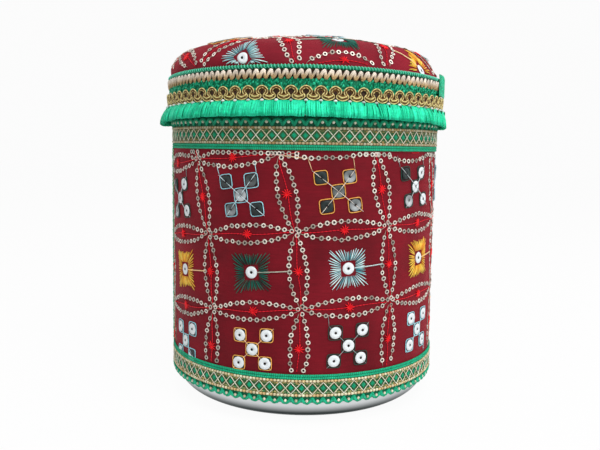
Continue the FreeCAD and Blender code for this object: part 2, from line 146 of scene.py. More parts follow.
class Surfaces:
    """Grids of points that become one mesh, drawn flat and laid on a surface as they come in.

    Columns of a grid close on themselves. Rows close too in a ring, and otherwise the first and last row
    get a flat cap, so every shape is closed.
    """

    def __init__(self, lay=as_drawn):
        self.lay = lay
        self.points = []
        self.quads = []
        self.uvs = []
        self.caps = []
        self.tints = []
        self.count = 0

    def add(self, drawn, tint, ring=False, uv=None):
        """Adds grids of shape (many, rows, columns, 3) in millimetres, turned so that faces look outwards."""
        grids = self.lay(drawn)
        many, rows, columns = grids.shape[:3]
        if many == 0:
            return
        index = np.arange(many * rows * columns).reshape(many, rows, columns)
        spans = rows if ring else rows - 1
        near = index[:, :spans]
        far = np.roll(index, -1, 1)[:, :spans]
        quads = np.stack([near, np.roll(near, -1, 2), np.roll(far, -1, 2), far], -1)
        corners = run_and_turn(grids, spans) if uv is None else uv.reshape(-1, 2)[quads]
        caps = [] if ring else [index[:, 0, ::-1], index[:, -1]]
        places = grids.reshape(-1, 3)
        if volume(places, [quads[0].reshape(-1, 4)] + [cap[:1] for cap in caps]) < 0:
            quads = quads[..., ::-1]
            corners = corners[..., ::-1, :]
            caps = [cap[:, ::-1] for cap in caps]
        self.points.append(places)
        self.quads.append(quads.reshape(-1, 4) + self.count)
        self.uvs.append(corners.reshape(-1, 2))
        self.caps += [cap + self.count for cap in caps]
        self.tints.append(np.broadcast_to(tint, grids.shape[:3] + (4,)).reshape(-1, 4))
        self.count += len(places)

    def mesh(self, name):
        quads = np.concatenate(self.quads)
        faces = [quads] + self.caps
        corners = np.concatenate([face.ravel() for face in faces])
        sizes = np.concatenate([np.full(len(face), face.shape[1]) for face in faces])
        uv = np.zeros((len(corners), 2), np.float32)
        uv[:quads.size] = np.concatenate(self.uvs)
        made = bpy.data.meshes.new(name)
        made.vertices.add(self.count)
        made.vertices.foreach_set("co", (np.concatenate(self.points) * MM).astype(np.float32).ravel())
        made.loops.add(len(corners))
        made.loops.foreach_set("vertex_index", corners.astype(np.int32))
        made.polygons.add(len(sizes))
        made.polygons.foreach_set("loop_start", (np.cumsum(sizes) - sizes).astype(np.int32))
        made.polygons.foreach_set("use_smooth", np.arange(len(sizes)) < len(quads))
        made.update(calc_edges=True)
        made.uv_layers.new(name="UVMap").data.foreach_set("uv", uv.ravel())
        paint = made.color_attributes.new("tint", "FLOAT_COLOR", "POINT")
        paint.data.foreach_set("color", np.concatenate(self.tints).astype(np.float32).ravel())
        return made


def put(name, surfaces, material, body, replaces=()):
    """Makes a piece of the gathered grids, rides it on a body and hides the frame's nodes that it stands for.
    """
    piece = bpy.data.objects.new(name, surfaces.mesh(name))
    piece.data.materials.append(material)
    bpy.context.scene.collection.objects.link(piece)
    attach(piece, body)
    if replaces:
        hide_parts(*replaces)
    print(name, len(piece.data.polygons), "faces")
    return piece


# %% [markdown]
# Trims are drawn flat, as if the cloth lay on a table: a distance along, a distance across, and a lift.
# A cord is then a circle carried along such a path, and a twisted cord's circle has lobes that turn.
# Drawing flat first means that one lace pattern can go round the top, round the bottom and up the seam.

# %% Cords drawn on flat cloth
UP = np.array([0.0, 0.0, 1.0])
TINY = 1e-9


def unit(vector):
    return vector / np.maximum(np.linalg.norm(vector, axis=-1, keepdims=True), TINY)


def route(along, across, lift):
    """One path on the flat cloth, with coordinates as in points."""
    return points(along, across, lift)[None]


def lifted(flat, lift):
    """Flat places with a lift."""
    return points(flat[..., 0], flat[..., 1], lift)


def steps(length, step, closed=True):
    """Even steps along a length, without the end point when the path closes on itself."""
    count = round(length / step)
    return np.arange(count + (0 if closed else 1)) * length / count


def cord(path, radius, sides=6, flat=1.0, loop=False):
    """Tubes along paths of shape (many, n, 3).

    A section is the path's point + radius * (cos a * side + flat * sin a * up), where side is the heading
    turned a quarter turn in the cloth, and a goes round from the underside.
    """
    heading = np.roll(path, -1, 1) - np.roll(path, 1, 1) if loop else np.gradient(path, axis=1)
    heading = unit(heading[..., :2])
    side = points(-heading[..., 1], heading[..., 0], 0.0)
    angle = around(sides) - TURN / 4
    section = np.cos(angle)[:, None] * side[:, :, None, :] + flat * np.sin(angle)[:, None] * UP
    radius = np.asarray(radius, float)
    if radius.ndim < 3:
        radius = np.broadcast_to(radius, path.shape[:2])[..., None]
    return path[:, :, None, :] + radius[..., None] * section


def rope(path, radius, lay, sides=10, depth=0.35, flat=1.0):
    """Two twisted strands: the radius swells with |cos| of (angle - twist), in whole turns of a lay each."""
    step = np.linalg.norm(np.diff(path, axis=1), axis=-1)
    run = np.concatenate([np.zeros((len(path), 1)), np.cumsum(step, 1)], 1)
    whole = run[:, -1:] + step[:, -1:]
    twist = TURN * run * np.round(whole / lay) / whole
    lobe = np.abs(np.cos(around(sides) - TURN / 4 - twist[..., None]))
    return cord(path, radius * (1 - depth * (1 - lobe)), sides, flat)


def stitches(start, end, radius, lift, arch, sides=5, rows=4):
    """Straight stitches, fat in the middle: lift + arch * sin(pi t), radius * (0.45 + 0.55 * sin(pi t))."""
    t = np.linspace(0, 1, rows)
    swell = np.sin(math.pi * t)
    flat = start[:, None] * (1 - t[:, None]) + end[:, None] * t[:, None]
    return cord(lifted(flat, lift + arch * swell), radius * (0.45 + 0.55 * swell), sides)


def blunt(angle, power):
    """Superellipse: cos and sin of an angle, each raised to a power with its sign kept."""
    wave = points(np.cos(angle), np.sin(angle))
    return np.sign(wave) * np.abs(wave) ** power


def lumps(places, half_along, half_across, heights, shares, corners=8, square=1.0):
    """Low mounds on flat places: rings of a superellipse, each with its share of the size and its height."""
    outline = np.array([half_along, half_across]) * blunt(around(corners), 2 / square)
    flat = places[:, None, None] + np.asarray(shares)[:, None, None] * outline
    return lifted(flat, np.asarray(heights)[:, None])


def carried(x, across, lifts):
    """Closed section of distances across and lifts, carried along x."""
    return points(x[:, None], across, lifts)[None]


def band(x, low, high, rows, lift, thickness):
    """Flat closed strip along x, from low to high at a lift, and back one thickness lower."""
    y = np.linspace(low, high, rows)
    return carried(x, np.concatenate([y, y[::-1]]), np.repeat([lift, lift - thickness], rows))


print("flat drawing tools ready")

# %% [markdown]
# The embroidered cloth is not a perfect cylinder: stitching pulls it down along the grid, and it swells
# between. That relief is a formula, so the cloth and everything sewn on it can share it and stay together.

# %% The wall as a surface to lay things on
CELL_WIDTH = 49.0
CELL_HEIGHT = 37.4
CELL_HEIGHT_GAIN = 0.46
CELL_CLIMB = 2.85
CELL_CLIMB_LOSS = 0.62
LEVEL_COLUMN = 2.3
CELL_LEAN = 11.2
CELL_LEAN_LOSS = 2.6
GRID_OFFSET = -12.8
GRID_TOP = UPPER_LACE_BOTTOM - 2.1
WALL_SWELL, WALL_SUNK, WALL_CREASE = 0.25, 0.08, 0.055
QUILT_FULLNESS = 0.7
CELL_ROUNDS = 3
CREASES = ((1.0, 0.21, 0.13, 1.0), (0.8, -0.29, 0.37, 0.0), (0.5, 0.83, 0.65, 0.0))


def wall_climb(i):
    """Rise of a row of the grid towards the right, less and less up to the level column."""
    climbing = np.minimum(i, LEVEL_COLUMN)
    return CELL_CLIMB * climbing - CELL_CLIMB_LOSS * climbing ** 2


def wall_lean(j):
    """Sideways place of a column of the grid, which leans less further down."""
    return GRID_OFFSET + CELL_LEAN * j - CELL_LEAN_LOSS * j ** 2


def wall_node(i, j):
    """Corner of the grid on the flat wall, in column i and row j. Rows get a little taller further down."""
    drop = CELL_HEIGHT * j + CELL_HEIGHT_GAIN * j ** 2
    return points(wall_lean(j) + CELL_WIDTH * i, GRID_TOP + wall_climb(i) - drop)


def wall_cell(x, y):
    """Column and row of a point of the wall: the formulas above turned round, each in turn."""
    i = (x - GRID_OFFSET) / CELL_WIDTH
    for _ in range(CELL_ROUNDS):
        drop = GRID_TOP + wall_climb(i) - y
        root = np.sqrt(CELL_HEIGHT ** 2 + 4 * CELL_HEIGHT_GAIN * drop)
        j = (root - CELL_HEIGHT) / (2 * CELL_HEIGHT_GAIN)
        i = (x - wall_lean(j)) / CELL_WIDTH
    return i, j


def quilt(i, j):
    """Swell of a cell of the grid, from 0 on its stitched lines to 1 in its middle."""
    return np.abs(np.sin(math.pi * i) * np.sin(math.pi * j)) ** QUILT_FULLNESS


def crease(x, y):
    """Small creases of glued cloth: three crossing waves, size * sin(a x + b y + phase)."""
    return sum(size * np.sin(a * x + b * y + phase) for size, a, b, phase in CREASES)


def wall_relief(x, y):
    return WALL_SWELL * quilt(*wall_cell(x, y)) - WALL_SUNK + WALL_CREASE * crease(x, y)


def turned(reach, azimuth, height):
    """Points round the upright axis: (reach * sin azimuth, -reach * cos azimuth, height)."""
    return points(reach * np.sin(azimuth), -reach * np.cos(azimuth), height)


def lay_on_wall(flat):
    """Azimuth is the distance along over the wall's radius, and the lift adds to the radius."""
    x, y, lift = np.moveaxis(flat, -1, 0)
    return turned(WALL + wall_relief(x, y) + lift, x / WALL, y)


print("cells of the wall's grid:", CELL_WIDTH, "by", CELL_HEIGHT, "mm")

# %% [markdown]
# The lid's cloth runs over a crown and a shoulder, two arcs that meet smoothly, and down the skirt.
# A distance from its top along the cloth gives a place on that outline, so the lid can be drawn flat as well.

# %% The lid as a surface to lay things on
SHOULDER = 16.5
DOME_SPRING = LID_TOP + 0.2
DOME_RISE = APEX - DOME_SPRING
SHOULDER_REACH = COVER - SHOULDER
CROWN = (SHOULDER_REACH ** 2 + DOME_RISE ** 2 - SHOULDER ** 2) / (2 * (DOME_RISE - SHOULDER))
CROWN_ANGLE = math.asin(SHOULDER_REACH / (CROWN - SHOULDER))
CROWN_RUN = CROWN * CROWN_ANGLE
DOME_RUN = CROWN_RUN + SHOULDER * (math.pi / 2 - CROWN_ANGLE)
PAD_SHIFT = 1.9
PAD_SHIFT_HEIGHT = 6.0
LID_CELL = np.array([48.8, 12.0])
LID_ROW = np.array([-7.6, 36.8])
LID_FRONT = np.array([17.5, -62.4])
LID_GRID = np.linalg.inv(np.stack([LID_CELL, LID_ROW], 1))
LID_SWELL, LID_SUNK, LID_CREASE = 0.4, 0.45, 0.07
RELIEF_END = DOME_RUN + 2
RELIEF_FADE = 10.0


def dome_profile(run):
    """Radius, height and tip of the dome a distance along the cloth from its top: crown, shoulder, skirt."""
    on_crown = run < CROWN_RUN
    tip = np.where(on_crown, run / CROWN, CROWN_ANGLE + (run - CROWN_RUN) / SHOULDER)
    tip = np.minimum(tip, math.pi / 2)
    radius = np.where(on_crown, CROWN * np.sin(tip), SHOULDER_REACH + SHOULDER * np.sin(tip))
    height = np.where(on_crown, APEX - CROWN + CROWN * np.cos(tip), DOME_SPRING + SHOULDER * np.cos(tip))
    return radius, height - np.maximum(run - DOME_RUN, 0), tip


def pad_shift(height):
    """Sideways shift of the stuffed top, which sits a little to the left: none at its foot, then all."""
    return -PAD_SHIFT * np.clip((height - DOME_SPRING) / PAD_SHIFT_HEIGHT, 0, 1)


def lid_relief(x, y, run):
    i, j = np.moveaxis((points(x, y) - LID_FRONT) @ LID_GRID.T + 0.5, -1, 0)
    soft = np.clip((RELIEF_END - run) / RELIEF_FADE, 0, 1)
    return soft * (LID_SWELL * quilt(i, j) - LID_SUNK + LID_CREASE * crease(x, y))


def lay_on_lid(flat):
    """Distance from the lid's middle runs down the dome's profile, and the lift goes along its normal."""
    x, y, lift = np.moveaxis(flat, -1, 0)
    run = np.hypot(x, y)
    radius, height, tip = dome_profile(run)
    lift = lift + lid_relief(x, y, run)
    spread = (radius + lift * np.sin(tip)) / np.maximum(run, TINY)
    return points(spread * x + pad_shift(height), spread * y, height + lift * np.cos(tip))


print("crown radius", round(CROWN, 1), "cloth from top to edge", round(DOME_RUN, 1))

# %% [markdown]
# Thread gets one kind of finish with different numbers: a dye from the piece's own colour, a twist that runs
# along the piece's own coordinates, and a noise that keeps two stitches from looking alike.
# The twist could be a picture, but a sine of (run / lay + turns) needs none and never shows a seam.


# %% Shader helpers
def node(tree, kind, inputs=None, **settings):
    """Adds a shader node. An input is a value, or another node's output to link."""
    made = tree.nodes.new("ShaderNode" + kind)
    for key, value in settings.items():
        setattr(made, key, value)
    for key, value in (inputs or {}).items():
        if isinstance(value, bpy.types.NodeSocket):
            tree.links.new(value, made.inputs[key])
        else:
            made.inputs[key].default_value = value
    return made


def maths(tree, operation, *values):
    return node(tree, "Math", dict(enumerate(values)), operation=operation).outputs[0]


def between(tree, share, least, most):
    """A share from 0 to 1 as a value from least to most."""
    return maths(tree, "MULTIPLY_ADD", share, most - least, least)


def finish(name, **sockets):
    """A material with its principled shader's even values set on the shader itself."""
    material = bpy.data.materials.new(name)
    material.use_nodes = True
    tree = material.node_tree
    shader = tree.nodes["Principled BSDF"]
    for key, value in sockets.items():
        shader.inputs[key.replace("_", " ")].default_value = value
    return material, tree, shader


def own_place(tree):
    return node(tree, "TexCoord").outputs["Object"]


def own_flat(tree):
    return node(tree, "UVMap", uv_map="UVMap").outputs[0]


def own_dye(tree):
    return node(tree, "Attribute", attribute_name="tint").outputs["Color"]


def noise(tree, place, scale, detail):
    return node(tree, "TexNoise", {"Vector": place, "Scale": scale, "Detail": detail}).outputs["Fac"]


def own_noise(tree, scale, detail=3.0):
    return noise(tree, own_place(tree), scale, detail)


def drawn_out(tree, place, scales):
    """Noise drawn out along the axes whose scale is small."""
    return noise(tree, node(tree, "Mapping", {"Vector": place, "Scale": scales}).outputs[0], 1.0, 4.0)


def dyed(tree, shader, dye, value):
    """Gives the shader a dye times a value."""
    shaded = node(tree, "HueSaturation", {"Color": dye, "Value": value}).outputs[0]
    tree.links.new(shaded, shader.inputs["Base Color"])


def roughened(tree, shader, roughness):
    tree.links.new(roughness, shader.inputs["Roughness"])


def bumped(tree, shader, height, strength, distance):
    bump = node(tree, "Bump", {"Height": height, "Strength": strength, "Distance": distance}).outputs[0]
    tree.links.new(bump, shader.inputs["Normal"])


# %% Finishes: thread
STRANDS = 2
THREAD_GRAIN = 420
THREAD_BUMP = 0.0002


def thread_finish(name, lay, relief, shade, roughness):
    """Twisted thread: sine of (run / lay + strands * turn) darkens the grooves as painted shade and bumps the
    surface.
    """
    material, tree, shader = finish(name, Specular_IOR_Level=0.2, Roughness=roughness)
    run, turn, _ = node(tree, "SeparateXYZ", {0: own_flat(tree)}).outputs
    phase = maths(tree, "MULTIPLY_ADD", run, 1 / lay, maths(tree, "MULTIPLY", turn, STRANDS))
    groove = maths(tree, "SINE", maths(tree, "MULTIPLY", phase, TURN))
    uneven = between(tree, own_noise(tree, THREAD_GRAIN), 0.55, 1.45)
    dyed(tree, shader, own_dye(tree), maths(tree, "MULTIPLY_ADD", groove, shade, uneven))
    bumped(tree, shader, groove, relief, THREAD_BUMP)
    return material


LACE_THREAD = thread_finish("lace thread", lay=0.9, relief=0.4, shade=0.14, roughness=0.5)
GOLD_THREAD = thread_finish("gold thread", lay=0.7, relief=0.6, shade=0.16, roughness=0.38)
SILK_THREAD = thread_finish("embroidery silk", lay=0.8, relief=0.3, shade=0.08, roughness=0.45)
FRINGE_YARN = thread_finish("fringe yarn", lay=1.4, relief=0.2, shade=0.05, roughness=0.5)
print("thread finishes:", LACE_THREAD.name, GOLD_THREAD.name, SILK_THREAD.name, FRINGE_YARN.name)

# %% [markdown]
# The cloth is a plain weave, dyed maroon, with thicker threads here and there and patches of two dyes.
# Its weave is two sines, one for each set of threads, on the cloth's own flat coordinates in millimetres.
# The lid's cloth is dyed a little paler than the wall's, which is painted light: the lid gets more light from
# above.

# %% Finishes: cloth and padding
CLOTH_BUMP = 0.0001
PATCHES = 45
SLUBS = (0.12, 1.1, 1)
WEAR = 90


def cloth_finish(name, dye, pale_dye, pitch, **sockets):
    """Plain weave: sine across times sine along, slow noise between two dyes, drawn-out noise as slubs."""
    material, tree, shader = finish(name, Specular_IOR_Level=0.12, **sockets)
    flat = own_flat(tree)
    across, along, _ = node(tree, "SeparateXYZ", {0: flat}).outputs
    threads = [maths(tree, "SINE", maths(tree, "MULTIPLY", part, TURN / pitch)) for part in (across, along)]
    weave = maths(tree, "MULTIPLY", *threads)
    patches = {"Value": own_noise(tree, PATCHES, 6), "From Min": 0.35, "From Max": 0.65}
    dyes = {"Factor": node(tree, "MapRange", patches).outputs[0], 6: dye, 7: pale_dye}
    blend = node(tree, "Mix", dyes, data_type="RGBA").outputs[2]
    slubs = between(tree, drawn_out(tree, flat, SLUBS), 0.7, 1.3)
    dyed(tree, shader, blend, maths(tree, "MULTIPLY_ADD", weave, 0.07, slubs))
    grain = maths(tree, "MULTIPLY_ADD", own_noise(tree, THREAD_GRAIN), 1.2, weave)
    bumped(tree, shader, grain, strength=0.35, distance=CLOTH_BUMP)
    roughened(tree, shader, between(tree, own_noise(tree, WEAR), 0.55, 0.8))
    return material


WEAVE = 0.42
FIBRES = 1.6
SHEEN = {"Sheen_Weight": 0.45, "Sheen_Tint": colour(220, 66, 80)}
WALL_MAROON = cloth_finish("maroon cloth", colour(98, 11, 23), colour(121, 17, 31), WEAVE, **SHEEN)
# Painted light: the lid's cloth gets a paler dye than the wall's.
LIT_LID_MAROON = cloth_finish("lit lid maroon cloth", colour(105, 15, 29), colour(130, 23, 39), WEAVE, **SHEEN)
WADDING = cloth_finish("cotton wadding", colour(205, 198, 182), colour(226, 221, 208), FIBRES,
                       Sheen_Weight=0.3)
print("cloth finishes:", WALL_MAROON.name, LIT_LID_MAROON.name, WADDING.name)

# %% [markdown]
# Spun steel carries fine rings from the tool that pressed it against its former.
# They are noise stretched flat: very fine in height, hardly changing round the piece.
# Sequins are foil and plastic, smooth but never quite flat, so their roughness wanders a little.

# %% Finishes: steel, sequins, mirror foil
STEEL_RINGS = (6, 6, 900)
SMUDGES = 38
SPECKS = 700


def steel_finish(name):
    """Rings are noise squashed flat, over the tone that the piece carries."""
    material, tree, shader = finish(name, Metallic=1.0, Anisotropic=0.4, Specular_Tint=(0.5, 0.52, 0.52, 1))
    rings = drawn_out(tree, own_place(tree), STEEL_RINGS)
    smudge = own_noise(tree, SMUDGES, 4)
    dyed(tree, shader, own_dye(tree), between(tree, smudge, 0.85, 1.15))
    roughened(tree, shader, maths(tree, "MULTIPLY_ADD", rings, 0.2, between(tree, smudge, 0.16, 0.28)))
    bumped(tree, shader, rings, strength=0.12, distance=CLOTH_BUMP)
    return material


def foil_finish(name, roughness, uneven, **sockets):
    """Smooth foil or plastic in the piece's own colour, with a roughness that wanders."""
    material, tree, shader = finish(name, **sockets)
    speck = own_noise(tree, SPECKS)
    dyed(tree, shader, own_dye(tree), between(tree, speck, 1 - uneven / 2, 1 + uneven / 2))
    roughened(tree, shader, between(tree, speck, roughness, roughness + 0.2))
    return material


STEEL = steel_finish("spun steel")
RING_FOIL = foil_finish("ring sequin", roughness=0.3, uneven=0.5, Specular_IOR_Level=0.3)
PEARL = foil_finish("pearl sequin", roughness=0.25, uneven=0.2, Specular_IOR_Level=0.12)
MIRROR_FOIL = foil_finish("mirror foil", roughness=0.3, uneven=0.7, Specular_IOR_Level=0.2)
print("hard finishes:", STEEL.name, RING_FOIL.name, PEARL.name, MIRROR_FOIL.name)

# %% [markdown]
# The canister is spun from one sheet of steel: pressed base, round corner, straight wall, rolled rim.
# It could stay as the frame's own mesh, but polished steel shows every facet, so its outline is turned again
# here with many steps, and the result stands for the frame's piece. The lid is pressed in the same way.
# Outside, the steel is painted darker towards the foot, as painted shade for the shadow it reflects there, so
# every row has its own tone.


# %% Turned outlines
def arc(middle, radius, start, end, count):
    """Points of an arc in a turned outline, as (radius, height), in degrees from outward towards up."""
    angle = np.radians(np.linspace(start, end, count))
    return points(middle[0] + radius * np.cos(angle), middle[1] + radius * np.sin(angle))


def softened(corners, radius=0.25):
    """Outline through corners, each corner replaced by two points a little way along its sides."""
    corners = np.asarray(corners, float)
    before = corners[1:-1] + radius * unit(corners[:-2] - corners[1:-1])
    after = corners[1:-1] + radius * unit(corners[2:] - corners[1:-1])
    pairs = np.stack([before, after], 1).reshape(-1, 2)
    return np.concatenate([corners[:1], pairs, corners[-1:]])


def spin(outline, count):
    """Turned surface: each point (r, z) of the outline goes round the upright axis."""
    return turned(outline[:, :1], around(count), outline[:, 1:])[None]


# %% Steel canister
STEEL_SIDES = 224
STEEL_WALL = 0.6
CORNER = 17.5
FOOT = 6.0
BASE_RISE = 1.6
BASE_SLOPE = 3.0
RIM_BEAD = 1.5
POLE = 1.0
WALL_ROWS = 12
SHADED_STEEL = colour(26, 32, 32)
BRIGHT_STEEL = colour(212, 215, 216)
SHADE_BELOW = 4.2
BRIGHT_ABOVE = 9.5

foot_outer = CAN_RADIUS - CORNER
foot_inner = foot_outer - FOOT
base_panel = foot_inner - BASE_SLOPE
floor_height = BASE_RISE + STEEL_WALL
bead = (CAN_RADIUS - RIM_BEAD, CAN_TOP - RIM_BEAD)
bend = (foot_outer, CORNER)
lip = 360 - math.degrees(math.acos((RIM_BEAD - STEEL_WALL) / RIM_BEAD))
underside = softened([(POLE, BASE_RISE), (base_panel, BASE_RISE), (foot_inner, 0), (foot_outer, 0)])
floor_line = softened([(foot_outer, STEEL_WALL), (foot_inner, STEEL_WALL), (base_panel, floor_height),
                       (POLE, floor_height)])
wall_heights = np.linspace(CORNER, bead[1], WALL_ROWS)[1:]
outer_wall = points(CAN_RADIUS, wall_heights)
inner_wall = points(CAN_RADIUS - STEEL_WALL, wall_heights[::-1])
outside = np.concatenate([underside, arc(bend, CORNER, -90, 0, 28)[1:], outer_wall])
inside = np.concatenate([arc(bead, RIM_BEAD, 0, lip, 20)[1:], inner_wall[1:],
                         arc(bend, CORNER - STEEL_WALL, 0, -90, 24), floor_line[1:]])
# Painted shade: the steel's colour darkens towards the foot, for the shadow that it reflects there.
lit_share = np.clip((outside[:, 1] - SHADE_BELOW) / (BRIGHT_ABOVE - SHADE_BELOW), 0, 1)
steel_tone = mixed(SHADED_STEEL, BRIGHT_STEEL, np.append(lit_share, np.ones(len(inside))))
canister = Surfaces()
canister.add(spin(np.concatenate([outside, inside]), STEEL_SIDES), by_row(steel_tone))
put("steel_canister", canister, STEEL, "canister", ["canister_shell"])

# %% Steel lid
LID_WALL = 0.5
LID_CORNER = 1.7
LID_HEM = 2.0
HEM_SOFT = 0.1
PANEL = 60.0
PANEL_SLOPE = 2.0
PANEL_DROP = 1.2
skirt = LID_RADIUS - LID_WALL
skirt_inner = skirt - LID_WALL
hem_top = SKIRT_BOTTOM + LID_HEM
panel_foot = PANEL - PANEL_SLOPE
lid_bend = (skirt - LID_CORNER, LID_TOP - LID_CORNER)


def panel_line(top, reach):
    """Sunk panel of the lid and the flat ring round it, from the middle outwards."""
    return softened([(POLE, top - PANEL_DROP), (panel_foot, top - PANEL_DROP), (PANEL, top), (reach, top)])


hem_line = softened([(skirt, lid_bend[1]), (skirt, hem_top), (LID_RADIUS, hem_top),
                     (LID_RADIUS, SKIRT_BOTTOM), (skirt_inner, SKIRT_BOTTOM),
                     (skirt_inner, lid_bend[1])], HEM_SOFT)
lid_line = np.concatenate([panel_line(LID_TOP, lid_bend[0]), arc(lid_bend, LID_CORNER, 90, 0, 8)[1:],
                           hem_line[1:], arc(lid_bend, LID_CORNER - LID_WALL, 0, 90, 8)[1:],
                           panel_line(LID_TOP - LID_WALL, lid_bend[0])[::-1][1:]])
lid = Surfaces()
lid.add(spin(lid_line, STEEL_SIDES), BRIGHT_STEEL)
put("steel_lid", lid, STEEL, "lid", ["lid_shell"])

# %% [markdown]
# The pad is cotton wadding, domed and drawn in at its foot. It sits out of sight under the cloth, in the
# space of its solid. The cloth over it is cut as a disc and drawn tight: a dome with a skirt, one layer
# thick. Both cloths are pushed about by the quilting relief. A simulated cloth would wander from the grid.

# %% Pad
PLAIN = np.ones(4)
CLOTH = 0.5
PAD_GAP = 0.1
PAD_DRAW_IN = 0.8
pad_radius, pad_height, pad_tip = dome_profile(np.linspace(POLE, DOME_RUN, 40))
pad_depth = CLOTH + PAD_GAP
pad_line = points(pad_radius - pad_depth * np.sin(pad_tip), pad_height - pad_depth * np.cos(pad_tip))
pad_foot = LID_TOP + PAD_GAP
pad_edge = pad_line[-1]
pad_under = softened([pad_edge, (pad_edge[0] - PAD_DRAW_IN, pad_foot), (PANEL - PAD_GAP, pad_foot),
                      (panel_foot - PAD_GAP, pad_foot - PANEL_DROP), (POLE, pad_foot - PANEL_DROP)])
pad = Surfaces()
pad_grid = spin(np.concatenate([pad_line, pad_under[1:]]), 160)
pad_grid[..., 0] += pad_shift(pad_grid[..., 2])
pad.add(pad_grid, PLAIN, uv=pad_grid[..., :2])
pad_piece = put("wadding_pad", pad, WADDING, "lid", ["lid_pad"])

# %% Cloth on the wall
SEAM_AZIMUTH = math.radians(-85.4)
SEAM_START = SEAM_AZIMUTH * WALL
WALL_LENGTH = TURN * WALL
WRAP_INNER = CAN_RADIUS + GLUE
WRAP_STEP = 1.3
WRAP_ROWS = 90
BACK_EVERY = 22
wrap_x = SEAM_START + steps(WALL_LENGTH, WRAP_STEP)
wrap_front = points(wrap_x[:, None], np.linspace(WRAP_TOP, WRAP_BOTTOM, WRAP_ROWS), 0.0)
wrap_behind = wrap_front[:, ::BACK_EVERY][:, ::-1]
wrap_back = lay_on_wall(wrap_behind)
wrap_back[..., :2] = WRAP_INNER * unit(wrap_back[..., :2])
wrap = Surfaces()
wrap.add(np.concatenate([lay_on_wall(wrap_front), wrap_back], 1)[None], PLAIN, ring=True,
         uv=np.concatenate([wrap_front, wrap_behind], 1)[None, ..., :2])
wrap_piece = put("wall_cloth", wrap, WALL_MAROON, "canister", ["body_wrap"])

# %% Cloth on the lid
COVER_RUN = DOME_RUN + DOME_SPRING - COVER_BOTTOM
COVER_ROWS = 90
COVER_SIDES = 240
cover_run = np.linspace(POLE, COVER_RUN, COVER_ROWS)[:, None]
cover_outer = turned(cover_run, around(COVER_SIDES), 0.0)
cover_flat = np.concatenate([cover_outer, cover_outer[::-1] - CLOTH * UP])[None]
cover = Surfaces(lay_on_lid)
cover.add(cover_flat, PLAIN, uv=cover_flat[..., :2])
cover_piece = put("lid_cloth", cover, LIT_LID_MAROON, "lid", ["lid_cover"])

# %% [markdown]
# The lace is machine made: a plain edge of two green cords, a gold lattice with a green pad in every diamond,
# gold cords on both sides of it, and a scalloped cord that loops round small beads.
# It is drawn once, flat, and laid on three surfaces: round the top, round the bottom where it follows the
# corner inwards, and up the seam of the cloth.

# %% Lace surfaces
LACE_WIDTH = UPPER_LACE_TOP - UPPER_LACE_BOTTOM
LACE_REPEATS = 88
LACE_PITCH = TURN * LACE / LACE_REPEATS
_, SEAM_BOTTOM, SEAM_TOP = extent("seam_lace_ground")
SEAM_LENGTH = SEAM_TOP - SEAM_BOTTOM
SEAM_REPEATS = round(SEAM_LENGTH / LACE_PITCH)
SEAM_EDGE = 0.3
SEAM_SWELL = 0.15
SEAM_LOFT = 0.8


def lay_upper_lace(flat):
    x, y, lift = np.moveaxis(flat, -1, 0)
    return turned(LACE + lift, x / LACE, UPPER_LACE_BOTTOM + y)


def lay_lower_lace(flat):
    """Straight down the wall, then round the canister's corner, where a distance becomes an angle."""
    x, y, lift = np.moveaxis(flat, -1, 0)
    corner = CORNER + LACE - CAN_RADIUS
    past = np.maximum(y - (LOWER_LACE_TOP - CORNER), 0) / corner
    reach = CAN_RADIUS - CORNER + (corner + lift) * np.cos(past)
    height = np.where(past > 0, CORNER - (corner + lift) * np.sin(past), LOWER_LACE_TOP - y)
    return turned(reach, x / LACE, height)


def lay_seam_lace(flat):
    """Up the wall. The strip is pressed flat, most of all at its edge in front."""
    x, y, lift = np.moveaxis(flat, -1, 0)
    reach = LACE + lift * np.minimum(SEAM_EDGE + SEAM_SWELL * (LACE_WIDTH - y), SEAM_LOFT)
    return turned(reach, SEAM_AZIMUTH + (y - LACE_WIDTH / 2) / LACE, SEAM_BOTTOM + x)


print("lace pitch", round(LACE_PITCH, 2), "width", LACE_WIDTH.round(2))

# %% Lace sizes and dyes
LACE_GREEN = colour(5, 162, 117)
LACE_BRIGHT = colour(33, 195, 147)
LACE_PAD = colour(5, 137, 96)
LACE_OLIVE = colour(55, 96, 55)
PICOT_GROUND = colour(4, 104, 72)
OLIVE = colour(128, 137, 81)
GOLD = colour(223, 182, 113)
GOLD_BRIGHT = colour(255, 255, 220)
GOLD_PALE = colour(255, 255, 235)
GOLD_SHADE = colour(132, 91, 42)
BEAD = colour(248, 240, 220)
LACE_STEPS = 16
GROUND_STEP = 2
GROUND_EDGE = 0.3
GROUND = {"rows": 13, "lift": 0.25, "thickness": 0.24}
EDGE_ROWS = ((0.78, 1.7), (2.12, -1.7))
EDGE_ROPE = {"depth": 0.45, "flat": 0.6}
EDGE_STEP = 0.27
EDGE_LIFT = 0.42
EDGE_CORD = 0.74
EDGE_DOTS = 1.1
GOLD_ROWS = (3.55, 10.9)
GOLD_STEPS = 18
GOLD_BEADS = 3
GOLD_CORD = 0.74
GOLD_LIFT = 0.5
LATTICE_TOP = 4.25
LATTICE_BOTTOM = 10.2
NET_CORD = 0.22
NET_LIFT = 0.62
NET_CROSSING = 0.16
DIAMOND = {"half_along": 1.42, "half_across": 1.6, "heights": (0.2, 0.55, 0.72, 0.75),
           "shares": (1, 0.93, 0.6, 0.2)}
GRAINS = (-1.2, 0.0, 1.2)
GRAIN_STRAY = 0.15
GRAIN_ROWS = (LATTICE_TOP + 0.55, LATTICE_BOTTOM - 0.55)
GRAIN = {"half_along": 0.7, "half_across": 0.62, "heights": (0.2, 0.42, 0.5), "shares": (1, 0.9, 0.3),
         "corners": 6, "square": 2.0}
PICOT_MIDDLE = 13.65
BEAD_MIDDLE = PICOT_MIDDLE + 0.1
